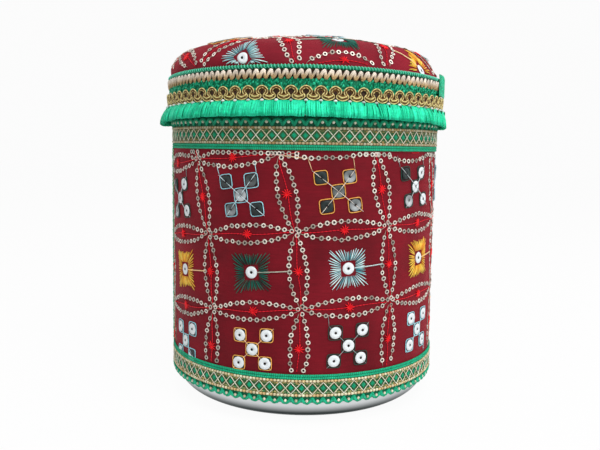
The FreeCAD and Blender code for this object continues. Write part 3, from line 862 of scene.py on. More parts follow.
PICOT_SWING = 1.4
PICOT_BULGE = 0.7
PICOT_LIFT = 0.5
PICOT_HEAVE = 0.1
PICOT_CORD = 0.94
PICOT_ROPE = {"lay": 1.9, "sides": 8, "depth": 0.25, "flat": 0.9}
PICOT_BEAD = {"half_along": 0.85, "half_across": 0.85, "heights": (0.2, 0.6, 1.15, 1.3),
              "shares": (0.7, 1, 0.7, 0.25), "square": 2.0}
PLAIN_TONES = {"edge": 1.0, "rows": 1.0, "net": 1.0, "picots": 0.9}
# Painted shade: the lace under the fringe is darkened, most of all its gold rows and picots.
FRINGE_SHADOW_TONES = {"edge": 0.88, "rows": 0.6, "net": 0.92, "picots": 0.58}
print("repeats of the lace:", LACE_REPEATS, "round the wall,", SEAM_REPEATS, "on the seam")


# %% Lace pattern
def zigzag(t):
    """Triangle wave from -1 to 1 with a period of 1, rounded a little at its turns."""
    wave = 4 * np.abs(t - np.floor(t + 0.5)) - 1
    return wave * (1.06 - 0.06 * wave ** 2)


def beaded(x, across, pitch, rng):
    """Cord pinched into beads, radius * (0.7 + 0.3 |sin|), each of its own colour and dark in the pinches as
    painted shade.
    """
    swell = np.abs(np.sin(math.pi * x / pitch))
    bright = rng.uniform(0.1, 1, int(x[-1] / pitch) + 2)[(x / pitch).astype(int)]
    grid = cord(route(x, across, GOLD_LIFT), GOLD_CORD * (0.7 + 0.3 * swell), flat=0.8)
    return grid, by_row(mixed(GOLD_SHADE, mixed(GOLD, GOLD_BRIGHT, bright), swell ** 0.6))


def lace(name, lay, repeats, pitch, closed, backed, tone=PLAIN_TONES, gold_rows=GOLD_ROWS):
    """The whole lace over a number of repeats, backed to a width, each part's dye times its tone (painted
    shade under the fringe).
    """
    rng = np.random.default_rng(repeats)
    length = repeats * pitch
    x = np.arange(repeats) * pitch
    fine = steps(length, pitch / LACE_STEPS, closed)
    turn = TURN * fine / pitch
    middle = (LATTICE_TOP + LATTICE_BOTTOM) / 2
    half = (LATTICE_BOTTOM - LATTICE_TOP) / 2
    green = Surfaces(lay)
    gold = Surfaces(lay)
    ground = band(steps(length, GROUND_STEP, closed), GROUND_EDGE, backed, **GROUND)
    in_lattice = (ground[..., 1] > GOLD_ROWS[0]) & (ground[..., 1] < GOLD_ROWS[1])
    green.add(ground, mixed(tone["picots"] * PICOT_GROUND, LACE_OLIVE, in_lattice), closed)
    for across, twist in EDGE_ROWS:
        along = steps(length, EDGE_STEP, closed)
        dots = mixed(LACE_PAD, LACE_BRIGHT, 0.5 + 0.5 * np.sin(TURN * along / EDGE_DOTS + across))
        strand = rope(route(along, across, EDGE_LIFT), EDGE_CORD, twist, **EDGE_ROPE)
        green.add(strand, tone["edge"] * by_row(dots), closed)
    for across in gold_rows:
        along = steps(length, pitch / GOLD_STEPS, closed)
        grid, tint = beaded(along, across, pitch / GOLD_BEADS, rng)
        gold.add(grid, tone["rows"] * tint, closed)
    for phase in (0, 1):
        across = middle + half * zigzag(fine / pitch / 2 + phase / 2)
        over = NET_LIFT + NET_CROSSING * np.cos(math.pi * (fine / pitch - 0.5 + phase))
        tint = mixed(GOLD, GOLD_PALE, np.clip(0.85 + 0.25 * np.sin(fine / 1.7 + phase), 0, 1))
        gold.add(cord(route(fine, across, over), NET_CORD, flat=0.8), tone["net"] * by_row(tint), closed)
    dyes = mixed(LACE_PAD, LACE_GREEN, rng.uniform(0, 1, repeats))
    green.add(lumps(points(x, middle), **DIAMOND), tone["edge"] * by_piece(dyes))
    for across in GRAIN_ROWS:
        for along in GRAINS:
            places = points(x + pitch / 2 + along, across) + rng.normal(0, GRAIN_STRAY, (repeats, 2))
            green_or_gold = mixed(LACE_GREEN, GOLD, rng.uniform(0, 1, repeats))
            dyes = mixed(OLIVE, green_or_gold, rng.uniform(0, 0.9, repeats))
            gold.add(lumps(places, **GRAIN), tone["rows"] * by_piece(dyes))
    loops = route(fine - PICOT_BULGE * np.sin(turn), PICOT_MIDDLE - PICOT_SWING * np.cos(turn),
                  PICOT_LIFT + PICOT_HEAVE * np.sin(turn))
    tint = mixed(LACE_GREEN, LACE_BRIGHT, 0.5 - 0.5 * np.cos(2 * turn))
    green.add(rope(loops, PICOT_CORD, **PICOT_ROPE), tone["picots"] * by_row(tint), closed)
    dyes = mixed(OLIVE, BEAD, rng.uniform(0.4, 1, repeats))
    gold.add(lumps(points(x + pitch / 2, BEAD_MIDDLE), **PICOT_BEAD), tone["net"] * by_piece(dyes))
    put(name, green, LACE_THREAD, "canister", [name + "_ground"])
    put(name + "_gold", gold, GOLD_THREAD, "canister", [name + "_net"])


lace("lower_lace", lay_lower_lace, LACE_REPEATS, LACE_PITCH, closed=True, backed=PICOT_MIDDLE + 1.4)
# The upper lace lies in the fringe's shadow: its tones are painted shade, and its darkened ground reaches up
# behind the picots as painted shadow.
lace("upper_lace", lay_upper_lace, LACE_REPEATS, LACE_PITCH, closed=True, backed=LACE_WIDTH - 0.4,
     tone=FRINGE_SHADOW_TONES)
lace("seam_lace", lay_seam_lace, SEAM_REPEATS, SEAM_LENGTH / SEAM_REPEATS, closed=False,
     backed=PICOT_MIDDLE + 0.4, gold_rows=GOLD_ROWS + (LACE_WIDTH - 0.3,))

# %% [markdown]
# Four trims run round the lid's skirt on a green tape. A twisted cord hides the tape's upper edge.
# Below it a flat gold braid is folded to and fro, so its folds stand side by side like teeth.
# All of them are drawn flat, with height up and lift outwards, and wrapped round the tape.

# %% Tape and edge cord
TAPE_GREEN = colour(5, 158, 113)
TAPE_BRIGHT = colour(57, 212, 165)
TAPE_DARK = colour(4, 121, 85)
CORD_GLINT = colour(113, 223, 192)
TAPE_LENGTH = TURN * TAPE
TAPE_DABS = 1500
TAPE_DAB = {"radius": 0.45, "lift": 0.15, "arch": 0.3}
EDGE_TWIST = {"radius": 0.93, "lay": 3.4, "sides": 12}
TWIST_LIFT = 0.15
GLINT_REACH = 0.86
GLINTS = round(2 * TAPE_LENGTH / EDGE_TWIST["lay"])
GLINT_STEPS = 12
SKIRT_SAG = 1.5
SAG_RIGHT, SAG_LEFT = 1.2, 3
ZIGZAG_OVERHANG = 0.4
_, scroll_low, scroll_high = extent("lid_scroll_braid")
_, zigzag_low, zigzag_high = extent("lid_zigzag_braid")
zigzag_low -= ZIGZAG_OVERHANG
tape_x = steps(TAPE_LENGTH, 2)
cord_x = steps(TAPE_LENGTH, 0.35)
dice = np.random.default_rng(4)


def lay_on_skirt(flat):
    """Round the tape. The trims hang lower at both sides than in front, from sooner on at the right."""
    x, y, lift = np.moveaxis(flat, -1, 0)
    side = np.sin(x / TAPE)
    sag = SKIRT_SAG * np.abs(side) ** np.where(side > 0, SAG_RIGHT, SAG_LEFT)
    return turned(TAPE + lift, x / TAPE, y - sag)


def dabs(count, along, across, reach_along, reach_across, stitch):
    """Stitches strewn at random over a strip, each drawn both ways from its middle by a random reach."""
    middle = points(dice.uniform(*along, count), dice.uniform(*across, count))
    reach = points(dice.uniform(*reach_along, count), dice.uniform(*reach_across, count))
    return stitches(middle - reach, middle + reach, **stitch)


tape = Surfaces(lay_on_skirt)
tape.add(band(tape_x, TAPE_BOTTOM, TAPE_TOP, rows=4, lift=0, thickness=0.8), TAPE_DARK, ring=True)
between_braids = (scroll_high - 1.2, zigzag_low + 0.8)
tape_dabs = dabs(TAPE_DABS, (0, TAPE_LENGTH), between_braids, (-0.1, 0.5), (0.5, 0.9), TAPE_DAB)
tape.add(tape_dabs, by_piece(mixed(TAPE_GREEN, TAPE_BRIGHT, dice.uniform(0, 1, TAPE_DABS) ** 2.6)))
put("lid_tape_woven", tape, LACE_THREAD, "lid", ["lid_tape"])

edge = Surfaces(lay_on_skirt)
edge_middle = (CORD_LOW + CORD_HIGH) / 2
edge.add(rope(route(cord_x, edge_middle, TWIST_LIFT), **EDGE_TWIST), LACE_PAD, ring=True)
glint_t = steps(GLINTS, 1 / GLINT_STEPS)
glint_path = route(TAPE_LENGTH / GLINTS * glint_t, edge_middle + GLINT_REACH * np.cos(TURN * glint_t),
                   TWIST_LIFT + GLINT_REACH * np.sin(TURN * glint_t))
edge.add(cord(glint_path, radius=0.26, sides=4), CORD_GLINT, ring=True)
put("lid_edge_twist", edge, LACE_THREAD, "lid", ["lid_edge_cord"])

# %% Zigzag braid
ZIGZAG_PALE_AND_LIT = colour(255, 240, 223)
ZIGZAG_BEIGE = colour(192, 160, 111)
BROWN = colour(46, 26, 14)
ZIGZAG_REPEATS = 135
ZIGZAG_STEPS = 20
ZIGZAG_LIFT = 0.9
ZIGZAG_WIDTH = 0.84
ZIGZAG_LEAN = 0.42
FOLD_SHADES = (0.75, 1.05)
ZIGZAG_ROPE = {"lay": 1.15, "depth": 0.3, "flat": 0.65}
braid_x = steps(TAPE_LENGTH, 3)
zigzag_t = steps(ZIGZAG_REPEATS, 1 / ZIGZAG_STEPS)
zigzag_wave = np.sin(TURN * zigzag_t)
zigzag_half = (zigzag_high - zigzag_low) / 2
zigzag_path = route(TAPE_LENGTH / ZIGZAG_REPEATS * zigzag_t + ZIGZAG_LEAN * zigzag_wave,
                    zigzag_low + zigzag_half + (zigzag_half - ZIGZAG_WIDTH) * zigzag_wave,
                    ZIGZAG_LIFT + 0.2 * zigzag_wave + 0.1 * np.cos(TURN * zigzag_t))
fold_shade = dice.uniform(*FOLD_SHADES, ZIGZAG_REPEATS)[zigzag_t.astype(int), None]
# The upper folds are paler than the lower ones: partly a two-tone braid, partly painted light from above.
zigzag_tint = mixed(ZIGZAG_BEIGE, ZIGZAG_PALE_AND_LIT, np.clip(0.45 + 0.8 * zigzag_wave, 0, 1)) * fold_shade
braid = Surfaces(lay_on_skirt)
braid.add(rope(zigzag_path, ZIGZAG_WIDTH, **ZIGZAG_ROPE), by_row(zigzag_tint), ring=True)
# A dark band behind the braid shows in the gaps between its folds, as painted shade.
braid_shade_band = band(braid_x, zigzag_low + 0.5, zigzag_high - 0.3, rows=3, lift=0.35, thickness=0.25)
braid.add(braid_shade_band, BROWN, ring=True)
put("lid_zigzag", braid, GOLD_THREAD, "lid", ["lid_zigzag_braid"])

# %% [markdown]
# The scroll braid is a line of two gold cords that makes round loops above and wide swags below.
# With u as the turn, it is x = pitch * t + b sin u + c sin 2u + d sin 3u. The second wave pushes the upper
# half of the line outwards and draws in the neck of each loop, and the other two round the loop off.
# Its height is a cos u above the middle, and below it -a (1 - w ** 1.2), with w as the share of a quarter
# turn left to the lowest point. Offsets along the line's own normal place the cords. Short arcs fill the
# swags, and every loop has a dark middle.

# %% Line of the scroll braid
SCROLL_REPEATS = 70
SCROLL_PITCH = TAPE_LENGTH / SCROLL_REPEATS
SCROLL_WAVES = (-0.05, 1.25, -0.45)
SCROLL_STEPS = 32
SCROLL_LIFT = 1.7
SCROLL_HEAVE = 0.25
SCROLL_CORD = 0.28
SCROLL_APART = 0.54
scroll_middle = (scroll_low + scroll_high) / 2
scroll_swing = (scroll_high - scroll_low) / 2 - SCROLL_APART - SCROLL_CORD + 0.2
scroll_t = steps(SCROLL_REPEATS, 1 / SCROLL_STEPS)
scroll_turn = TURN * scroll_t
scroll_x = SCROLL_PITCH * scroll_t
for order, wave in enumerate(SCROLL_WAVES, 1):
    scroll_x = scroll_x + wave * np.sin(order * scroll_turn)
from_lowest = np.abs(scroll_turn % TURN - math.pi) / (math.pi / 2)
scroll_wave = np.where(from_lowest > 1, np.cos(scroll_turn), np.minimum(from_lowest, 1) ** 1.2 - 1)
scroll_line = points(scroll_x, scroll_middle + scroll_swing * scroll_wave)
scroll_lift = SCROLL_LIFT + SCROLL_HEAVE * np.cos(scroll_turn)
heading_x, heading_y = np.gradient(scroll_line, axis=0).T
normal = unit(points(-heading_y, heading_x))
print("scroll pitch", round(SCROLL_PITCH, 2), "mm")

# %% Scroll braid
SCROLL_GOLD = colour(255, 238, 162)
SCROLL_MIDDLE = colour(134, 94, 44)
SCROLL_BROWN = colour(91, 59, 25)
SCROLL_ROPE = {"radius": SCROLL_CORD, "lay": 1.6, "sides": 6, "depth": 0.2}
LOOP_GROUND = {"half_along": 1.9, "half_across": 2.3, "heights": (0.8, 1.2, 1.3), "shares": (1, 0.95, 0.4),
               "square": 2.0}
LOOP_EYE = {"half_along": 1.6, "half_across": 1.6, "heights": (1.1, 1.5, 1.55), "shares": (1, 0.95, 0.4),
            "square": 2.0}
NECK = {"half_along": 0.5, "half_across": 0.8, "heights": (0.8, 1.6, 1.7), "shares": (1, 0.9, 0.4)}
LOOP_RISE = 0.45
FILL_LIFT = 1.6
SWAG_SAG = 0.9
SWAG_HALF = 2.2
SWAG_FILL = ((1.05, SCROLL_GOLD), (1.7, SCROLL_MIDDLE))
scroll = Surfaces(lay_on_skirt)
# A dark flat cord under the two gold cords fills the gap between them with painted shade.
shade_between_cords = route(*scroll_line.T, scroll_lift - SCROLL_CORD)
scroll.add(cord(shade_between_cords, SCROLL_APART, flat=0.6), SCROLL_BROWN, ring=True)
for side in (1, -1):
    strand = route(*(scroll_line + side * SCROLL_APART * normal).T, scroll_lift)
    outermost = 0.55 + 0.35 * side * np.cos(scroll_turn) + 0.4 * np.sin(scroll_turn * 7.3 + side)
    tint = mixed(SCROLL_MIDDLE, SCROLL_GOLD, np.clip(outermost, 0, 1))
    scroll.add(rope(strand, **SCROLL_ROPE), by_row(tint), ring=True)
loops = points(SCROLL_PITCH * np.arange(SCROLL_REPEATS), scroll_middle + LOOP_RISE)
scroll.add(lumps(loops, **LOOP_GROUND), SCROLL_BROWN)
scroll.add(lumps(loops, **LOOP_EYE), BROWN)
scroll.add(lumps(loops - np.array([0, scroll_swing]), **NECK), BROWN)
from_loop = points(*loops.T, 0.0)[:, None]
curl_turn = np.radians(np.linspace(-20, 200, 10))
curl = points(np.cos(curl_turn), np.sin(curl_turn), FILL_LIFT)
curl_tint = mixed(BROWN, SCROLL_MIDDLE, dice.uniform(0, 1, SCROLL_REPEATS))
scroll.add(cord(from_loop + curl, radius=0.2, sides=5), by_piece(curl_tint))
swag = np.linspace(-1, 1, 9)
swag_low = scroll_middle - scroll_swing - loops[0, 1]
for rise, tint in SWAG_FILL:
    fill = points(SCROLL_PITCH / 2 + SWAG_HALF * swag, swag_low + rise + SWAG_SAG * swag ** 2, FILL_LIFT)
    scroll.add(cord(from_loop + fill, SCROLL_CORD, sides=5), tint)
scroll_back = band(braid_x, scroll_low + 0.6, scroll_high - 2.4, rows=3, lift=1.0, thickness=0.2)
scroll.add(scroll_back, SCROLL_BROWN * 0.7, ring=True)
put("lid_scroll", scroll, GOLD_THREAD, "lid", ["lid_scroll_braid"])

# %% [markdown]
# The fringe is thousands of cut silky yarns hanging from a woven heading. Hair particles could do it, but
# yarns as thin three-sided tubes keep their shape in every view.
# Each yarn is a curve that drops, swings sideways with its clump and flares outwards, over a flared core
# that keeps the light from shining through.

# %% Fringe
FRINGE = colour(5, 227, 167)
FRINGE_LIGHT = colour(51, 255, 201)
FRINGE_DARK = colour(5, 128, 87)
FRINGE_DEEP = FRINGE * 0.74
FRINGE_CORE = FRINGE * 0.85
FRINGE_LEFT_SHADE = 0.24
FRINGE_YARNS = 6200
FRINGE_ROOT = TAPE_BOTTOM - 0.2
CLUMPS = ((1.0, 31, 0.0), (0.8, 11.7, 1.3), (0.5, 5.1, 0.4))
STREAKS = ((0.3, 19, 0.0), (0.3, 6.3, 0.0), (0.2, 1.9, 2.0))
TIP_WAVES = ((0.2, 17, 0.0),)
YARN_SWAY, YARN_STRAY = 0.5, 0.3
FLARE_LEFT, FLARE_RIGHT = 0.2, 0.22
SIDE_DROOP = 2.0
TIP_RAISE = 0.2
YARN_THICK = 0.3
ROOT_LIFT, ROOT_SPREAD = 0.9, 1.1
TIP_LIFT, TIP_SPREAD = 3.0, 1.9
_, fringe_tip, _ = extent("fringe")
fringe_tip += TIP_RAISE


def waves(x, table):
    """Sum of waves along x: size * sin(turn * x / length + phase)."""
    return sum(size * np.sin(TURN * x / length + phase) for size, length, phase in table)


def flared(t):
    return np.sin(math.pi / 2 * t) ** 0.8


yarn_x = np.sort(dice.uniform(0, TAPE_LENGTH, FRINGE_YARNS))
side = np.sin(yarn_x / TAPE)
leftward, rightward = np.clip(-side, 0, 1), np.clip(side, 0, 1)
clump = waves(yarn_x, CLUMPS)
sway = YARN_SWAY * clump + dice.normal(0, YARN_STRAY, FRINGE_YARNS)
depth = dice.uniform(0, 1, FRINGE_YARNS)
flare = 1.0 + FLARE_LEFT * leftward ** 3 - FLARE_RIGHT * rightward ** 3
droop = SIDE_DROOP * np.abs(side) ** 10
root_lift = ROOT_LIFT + ROOT_SPREAD * depth
tip_lift = (TIP_LIFT + TIP_SPREAD * depth) * flare + waves(yarn_x, TIP_WAVES)
tip_height = fringe_tip - droop + 0.1 * clump + dice.uniform(0, 0.35, FRINGE_YARNS)
t = np.linspace(0, 1, 5)
yarns = points(yarn_x[:, None] + sway[:, None] * t ** 1.6,
               FRINGE_ROOT + (tip_height - FRINGE_ROOT)[:, None] * t,
               root_lift[:, None] + (tip_lift - root_lift)[:, None] * flared(t))
yarn_radius = YARN_THICK * np.array([0.8, 1.0, 1.0, 0.9, 0.5])
shade = 0.4 + 0.7 * waves(yarn_x, STREAKS) + 0.3 * depth + dice.normal(0, 0.2, FRINGE_YARNS)
yarn_tint = mixed(FRINGE_DEEP, FRINGE_LIGHT, np.clip(shade, 0, 1))
# The yarns on the left are painted darker, as painted shade on the side away from the key lamp.
left_shade = 1 - FRINGE_LEFT_SHADE * leftward ** 2
ends = mixed(PLAIN, FRINGE_DARK / FRINGE, [0.05, 0.0, 0.0, 0.0, 0.12])
fringe = Surfaces(lay_on_skirt)
fringe.add(cord(yarns, yarn_radius, sides=3), by_piece(yarn_tint * left_shade[:, None]) * by_row(ends))
core_t = np.linspace(0, 1, 6)
core_tip = fringe_tip + 0.9
core_y = np.concatenate([FRINGE_ROOT + (core_tip - FRINGE_ROOT) * core_t, [core_tip, FRINGE_ROOT]])
core_lift = np.concatenate([1.0 + 2.0 * flared(core_t), [2.2, 0.2]])
fringe.add(carried(tape_x, core_y, core_lift), FRINGE_CORE, ring=True)
put("lid_fringe", fringe, FRINGE_YARN, "lid", ["fringe"])

# %% Heading of the fringe
KNOT_GLINT_WHITE = colour(240, 248, 244)
KNOT_GLINT_GREY = colour(130, 152, 143)
KNOT = {"half_along": 0.95, "half_across": 0.65, "heights": (1.2, 2.0, 2.6, 2.7), "shares": (1, 1, 0.7, 0.2),
        "square": 2.0}
PARTING_SHADOW = {"half_along": 0.4, "half_across": 1.3, "heights": (1.5, 2.9, 3.2), "shares": (1, 1, 0.5)}
HEADING_ROPE = {"radius": 0.5, "lay": 2.0, "sides": 8}
_, heading_low, heading_high = extent("fringe_heading")
heading = Surfaces(lay_on_skirt)
heading_back = band(tape_x, heading_low, heading_high - 0.6, rows=4, lift=0.7, thickness=0.6)
heading.add(heading_back, TAPE_DARK, ring=True)
heading.add(rope(route(cord_x, heading_high - 1.4, 0.85), **HEADING_ROPE), TAPE_GREEN, ring=True)
knots = points(loops[:, 0], scroll_low - 0.1)
# White and grey knots under the scroll's loops stand in for glints on the heading's silky loops: painted
# highlights.
knot_glint_tint = mixed(KNOT_GLINT_GREY, KNOT_GLINT_WHITE, dice.uniform(0, 1, SCROLL_REPEATS) ** 0.5)
heading.add(lumps(knots, **KNOT), by_piece(knot_glint_tint))
# Dark lumps under half of the knots are painted shadow in the partings of the fringe.
shaded_partings = knots[dice.uniform(0, 1, SCROLL_REPEATS) < 0.5] - np.array([0, 1.3])
heading.add(lumps(shaded_partings, **PARTING_SHADOW), FRINGE_DARK * 0.5)
put("lid_fringe_heading", heading, FRINGE_YARN, "lid", ["fringe_heading"])

# %% [markdown]
# Where the tape meets itself, its end is turned over and laid on top, outside the zigzag braid.
# It is a flat closed band: a long oval seen from above, wrapped round the lid and carried up the tape.

# %% Turned end of the tape
LAP_FROM, LAP_TO = TAPE * np.radians([64.5, 82])
LAP_LIFT = 1.9
LAP_THICK = 0.3
LAP_ROWS = 14
LAP_DABS = 260
LAP_DAB = {"radius": 0.35, "lift": LAP_LIFT + 0.1, "arch": 0.15}
_, lap_low, lap_high = extent("lid_tape_end")
lap_y = np.linspace(lap_low + 0.3, lap_high + 1.9, LAP_ROWS)[:, None]
lap_turn = around(32)
lap_share = 0.5 + 0.5 * blunt(lap_turn, 0.7)[:, 0]
lap_x = LAP_FROM + (LAP_TO - LAP_FROM) * lap_share + 0.4 * np.sin(lap_y / 3)
lap = Surfaces(lay_on_skirt)
# The fold's colour goes from green at its left end to pale over the rest: a painted highlight on the turned
# fold.
lap.add(points(lap_x, lap_y, LAP_LIFT + LAP_THICK * np.sin(lap_turn) + 0.08 * np.sin(lap_y))[None],
        mixed(TAPE_GREEN, TAPE_BRIGHT, np.clip(4 * lap_share - 0.6, 0, 1)))
lap_along = (LAP_FROM + 1.5, LAP_TO - 1.5)
lap_height = (lap_y[0, 0] + 1, lap_y[-1, 0] - 1)
lap_dabs = dabs(LAP_DABS, lap_along, lap_height, (0.4, 0.8), (-0.1, 0.1), LAP_DAB)
lap.add(lap_dabs, by_piece(mixed(TAPE_GREEN, TAPE_BRIGHT, dice.uniform(0.2, 1, LAP_DABS))))
put("lid_tape_fold", lap, LACE_THREAD, "lid", ["lid_tape_end"])

# %% [markdown]
# The embroidery is a grid of curved chains. On every edge of the grid two rows of ring sequins bow apart,
# with a red thread and a red star between them, and every cell holds a motif.
# A list of places is enough: the same functions draw it on the wall and on the lid, and the surface bends it.


# %% Grid of the embroidery
def lid_node(i, j):
    """Corner of a cell of the lid, counted from the middle of the front motif."""
    return LID_FRONT + (i - 0.5)[..., None] * LID_CELL + (0.5 - j)[..., None] * LID_ROW


def in_wall_field(flat, margin):
    """Between the laces, and clear of the strip over the seam."""
    x, y = flat[..., 0], flat[..., 1]
    clear = LACE_WIDTH / 2 + margin
    return ((y > LOWER_LACE_TOP + margin) & (y < UPPER_LACE_BOTTOM - margin)
            & (x > SEAM_START + clear) & (x < SEAM_START + WALL_LENGTH - clear))


def in_lid_field(flat, margin):
    """As far down the dome as the top of the edge cord."""
    return np.hypot(flat[..., 0], flat[..., 1]) < DOME_RUN - (CORD_HIGH - DOME_SPRING) - margin


def grid_edges(corner, columns, rows, rises):
    """Both ends and the middle's rise of every edge of a grid: the level edges, then the upright ones."""
    i, j = np.meshgrid(np.asarray(columns, float), np.asarray(rows, float), indexing="ij")
    level = np.zeros(i.shape)
    for (column, row), rise in rises.items():
        level[columns.index(column), rows.index(row)] = rise
    here, right, below = [corner(*at).reshape(-1, 2) for at in ((i, j), (i + 1, j), (i, j + 1))]
    return (here, right, level.ravel()), (here, below, np.zeros(len(here)))


# Rises of the level edges that were sewn out of line, by column and row
WALL_RISES = {(0, 0): 2.2, (1, 0): -1.0}
LID_RISES = {(0, 1): 1.9}
wall_edges = grid_edges(wall_node, range(-3, 8), range(-1, 4), WALL_RISES)
lid_edges = grid_edges(lid_node, range(-3, 4), range(-2, 6), LID_RISES)
print("edges of the wall's grid:", sum(len(start) for start, _, _ in wall_edges))

# %% Rings of the chains
RING_PITCH = 3.5
RING_SIZE = 1.26
RING_CORNERS = 8
RING_REACH = RING_SIZE * np.array([1.0, 0.94, 0.56, 0.48, 0.08])
RING_RISE = np.array([0.1, 0.3, 0.26, 0.14, 0.12]) + 0.12
RING_TILT = 0.1
RING_STRAY = 0.16
RING_UNEVEN = (0.93, 1.05)
BOW = 4.5


def chain_places(start, end, rise, rng):
    """Places of rings on bowed lines: pushed sideways by rise * s +- bow * s ** 0.9, where s is sin(pi t)."""
    count = round(float(np.linalg.norm(end - start, axis=1).mean()) / RING_PITCH)
    t = ((np.arange(count) + 0.5) / count)[None, :, None]
    along = end - start
    side = unit(points(-along[:, 1], along[:, 0]))
    bow = BOW * np.sin(math.pi * t) ** 0.9 * side[:, None]
    middle = start[:, None] + along[:, None] * t + (rise[:, None] * side)[:, None] * np.sin(math.pi * t)
    lines = np.concatenate([middle + bow, middle - bow])
    return lines + rng.normal(0, RING_STRAY, lines.shape)


def sequins(places, reach, rise, corners, tilt):
    """Round sequins: a section of reaches and rises carried round a circle, each sequin with its own tilt."""
    angle = around(corners)[:, None]
    across, up = reach * np.cos(angle), reach * np.sin(angle)
    lift = rise + tilt[:, :1, None] * across + tilt[:, 1:, None] * up
    return points(places[:, 0, None, None] + across, places[:, 1, None, None] + up, lift)


def ring_grids(places, rng):
    """Ring sequins of uneven size; the inner part of their section is the hole, which the chains paint dark
    as shadow.
    """
    size = rng.uniform(*RING_UNEVEN, len(places))[:, None, None]
    tilt = rng.normal(0, RING_TILT, (len(places), 2))
    return sequins(places, size * RING_REACH, RING_RISE, RING_CORNERS, tilt)


print("ring sequins:", 2 * RING_SIZE, "mm across")

# %% Chains, red thread and stars
RING_PALE = colour(244, 234, 222)
RING_DULL = colour(147, 132, 121)
RING_HOLE_SHADOW = colour(22, 10, 13)
CHAIN_THREAD = colour(190, 177, 158)
RED = colour(246, 23, 35)
RED_LINE = colour(235, 25, 44)
CHAIN_STITCH = {"radius": 0.17, "lift": 0.15, "arch": 0.05, "sides": 4, "rows": 3}
RED_STITCH = {"radius": 0.24, "lift": 0.2, "arch": 0.08, "sides": 5, "rows": 3}
STAR_STITCH = {"radius": 0.3, "lift": 0.3, "arch": 0.35, "sides": 5, "rows": 4}
STAR_POINTS = 10
STAR_REACH = (2.1, 2.9)
STAR_HEART = 0.1
STAR_INSET = 1.0
RED_POINTS = 26
RED_WOBBLE = 0.35
RED_FROM, RED_TO = 0.02, 0.98
RING_RIM_SHADE = 0.7
RING_MARGIN, CHAIN_MARGIN, RED_MARGIN, STAR_MARGIN = 1.2, 0.6, 0.4, 0.3
REACHES_IN = -12
CHAIN_LIMIT = UPPER_LACE_BOTTOM - 1.5


def stitched(lines, field, margin, stitch):
    """Stitches from point to point along lines, as far as they lie in the field."""
    first, second = lines[:, :-1].reshape(-1, 2), lines[:, 1:].reshape(-1, 2)
    keep = field(first, margin) & field(second, margin)
    return stitches(first[keep], second[keep], **stitch)


def chains(name, edges, lay, field, body, gleam, seed):
    """Chains, red threads and stars on all edges. Where edges meet, only every second line has end rings.

    Lines that would go under the wall's upper lace are drawn down to its edge. No line of the lid is that
    far up. The rings' colours are times their gleam.
    """
    rng = np.random.default_rng(seed)
    rings = Surfaces(lay)
    threads = Surfaces(lay)
    for start, end, rise in edges:
        lines = chain_places(start, end, rise, rng)
        under_lace = (lines[..., 1] > CHAIN_LIMIT) & (lines[..., 1] < CHAIN_LIMIT + BOW)
        lines[..., 1] = np.where(under_lace, CHAIN_LIMIT, lines[..., 1])
        sewn = np.ones(lines.shape[:2], bool)
        sewn[len(start):, [0, -1]] = False
        places = lines[sewn]
        places = places[field(places, RING_MARGIN)]
        bright = gleam * mixed(RING_DULL, RING_PALE, rng.uniform(0, 1, len(places)) ** 0.6)
        # The rim is painted darker as shade, and the hole's part of the section is painted near black as
        # shadow.
        hole = np.broadcast_to(RING_HOLE_SHADOW, bright.shape)
        tint = np.stack([bright * RING_RIM_SHADE, bright, bright, hole, hole], 1)[:, None]
        rings.add(ring_grids(places, rng), tint, ring=True)
        threads.add(stitched(lines, field, CHAIN_MARGIN, CHAIN_STITCH), CHAIN_THREAD)
        keep = field(start, REACHES_IN) | field(end, REACHES_IN)
        t = np.linspace(RED_FROM, RED_TO, RED_POINTS)[:, None]
        reds = start[keep, None] * (1 - t) + end[keep, None] * t
        reds[..., 1] += rise[keep, None] * np.sin(math.pi * t[:, 0])
        reds = reds + RED_WOBBLE * np.sin(9 * t + rng.uniform(0, 6, (len(reds), 1, 1)))
        threads.add(stitched(reds, field, RED_MARGIN, RED_STITCH), RED_LINE)
        middles = (start + end) / 2 + rise[:, None] * UP[1:]
        middles = middles[field(middles, STAR_INSET)]
        angle = around(STAR_POINTS) + rng.uniform(0, 1, (len(middles), 1))
        reach = rng.uniform(*STAR_REACH, angle.shape)[..., None]
        spokes = points(np.cos(angle), np.sin(angle))
        inner = (middles[:, None] + STAR_HEART * spokes).reshape(-1, 2)
        outer = (middles[:, None] + reach * spokes).reshape(-1, 2)
        keep = field(outer, STAR_MARGIN)
        threads.add(stitches(inner[keep], outer[keep], **STAR_STITCH), RED)
    put(name + "_ring_sequins", rings, RING_FOIL, body)
    put(name + "_chain_threads", threads, SILK_THREAD, body)


chains("wall", wall_edges, lay_on_wall, in_wall_field, "canister", gleam=1.0, seed=21)
chains("lid", lid_edges, lay_on_lid, in_lid_field, "lid", gleam=1.3, seed=22)

# %% [markdown]
# Each cell has one of three motifs: a cross of five sequins that catch little light, a burst of satin
# stitches round one white sequin, or a cross of five white sequins. In a cross every sequin lies on a dark
# square foil inside a thread frame, and threads run along both diagonals through their holes.
# A motif is drawn on the two directions of its own cell, so it leans with the grid.

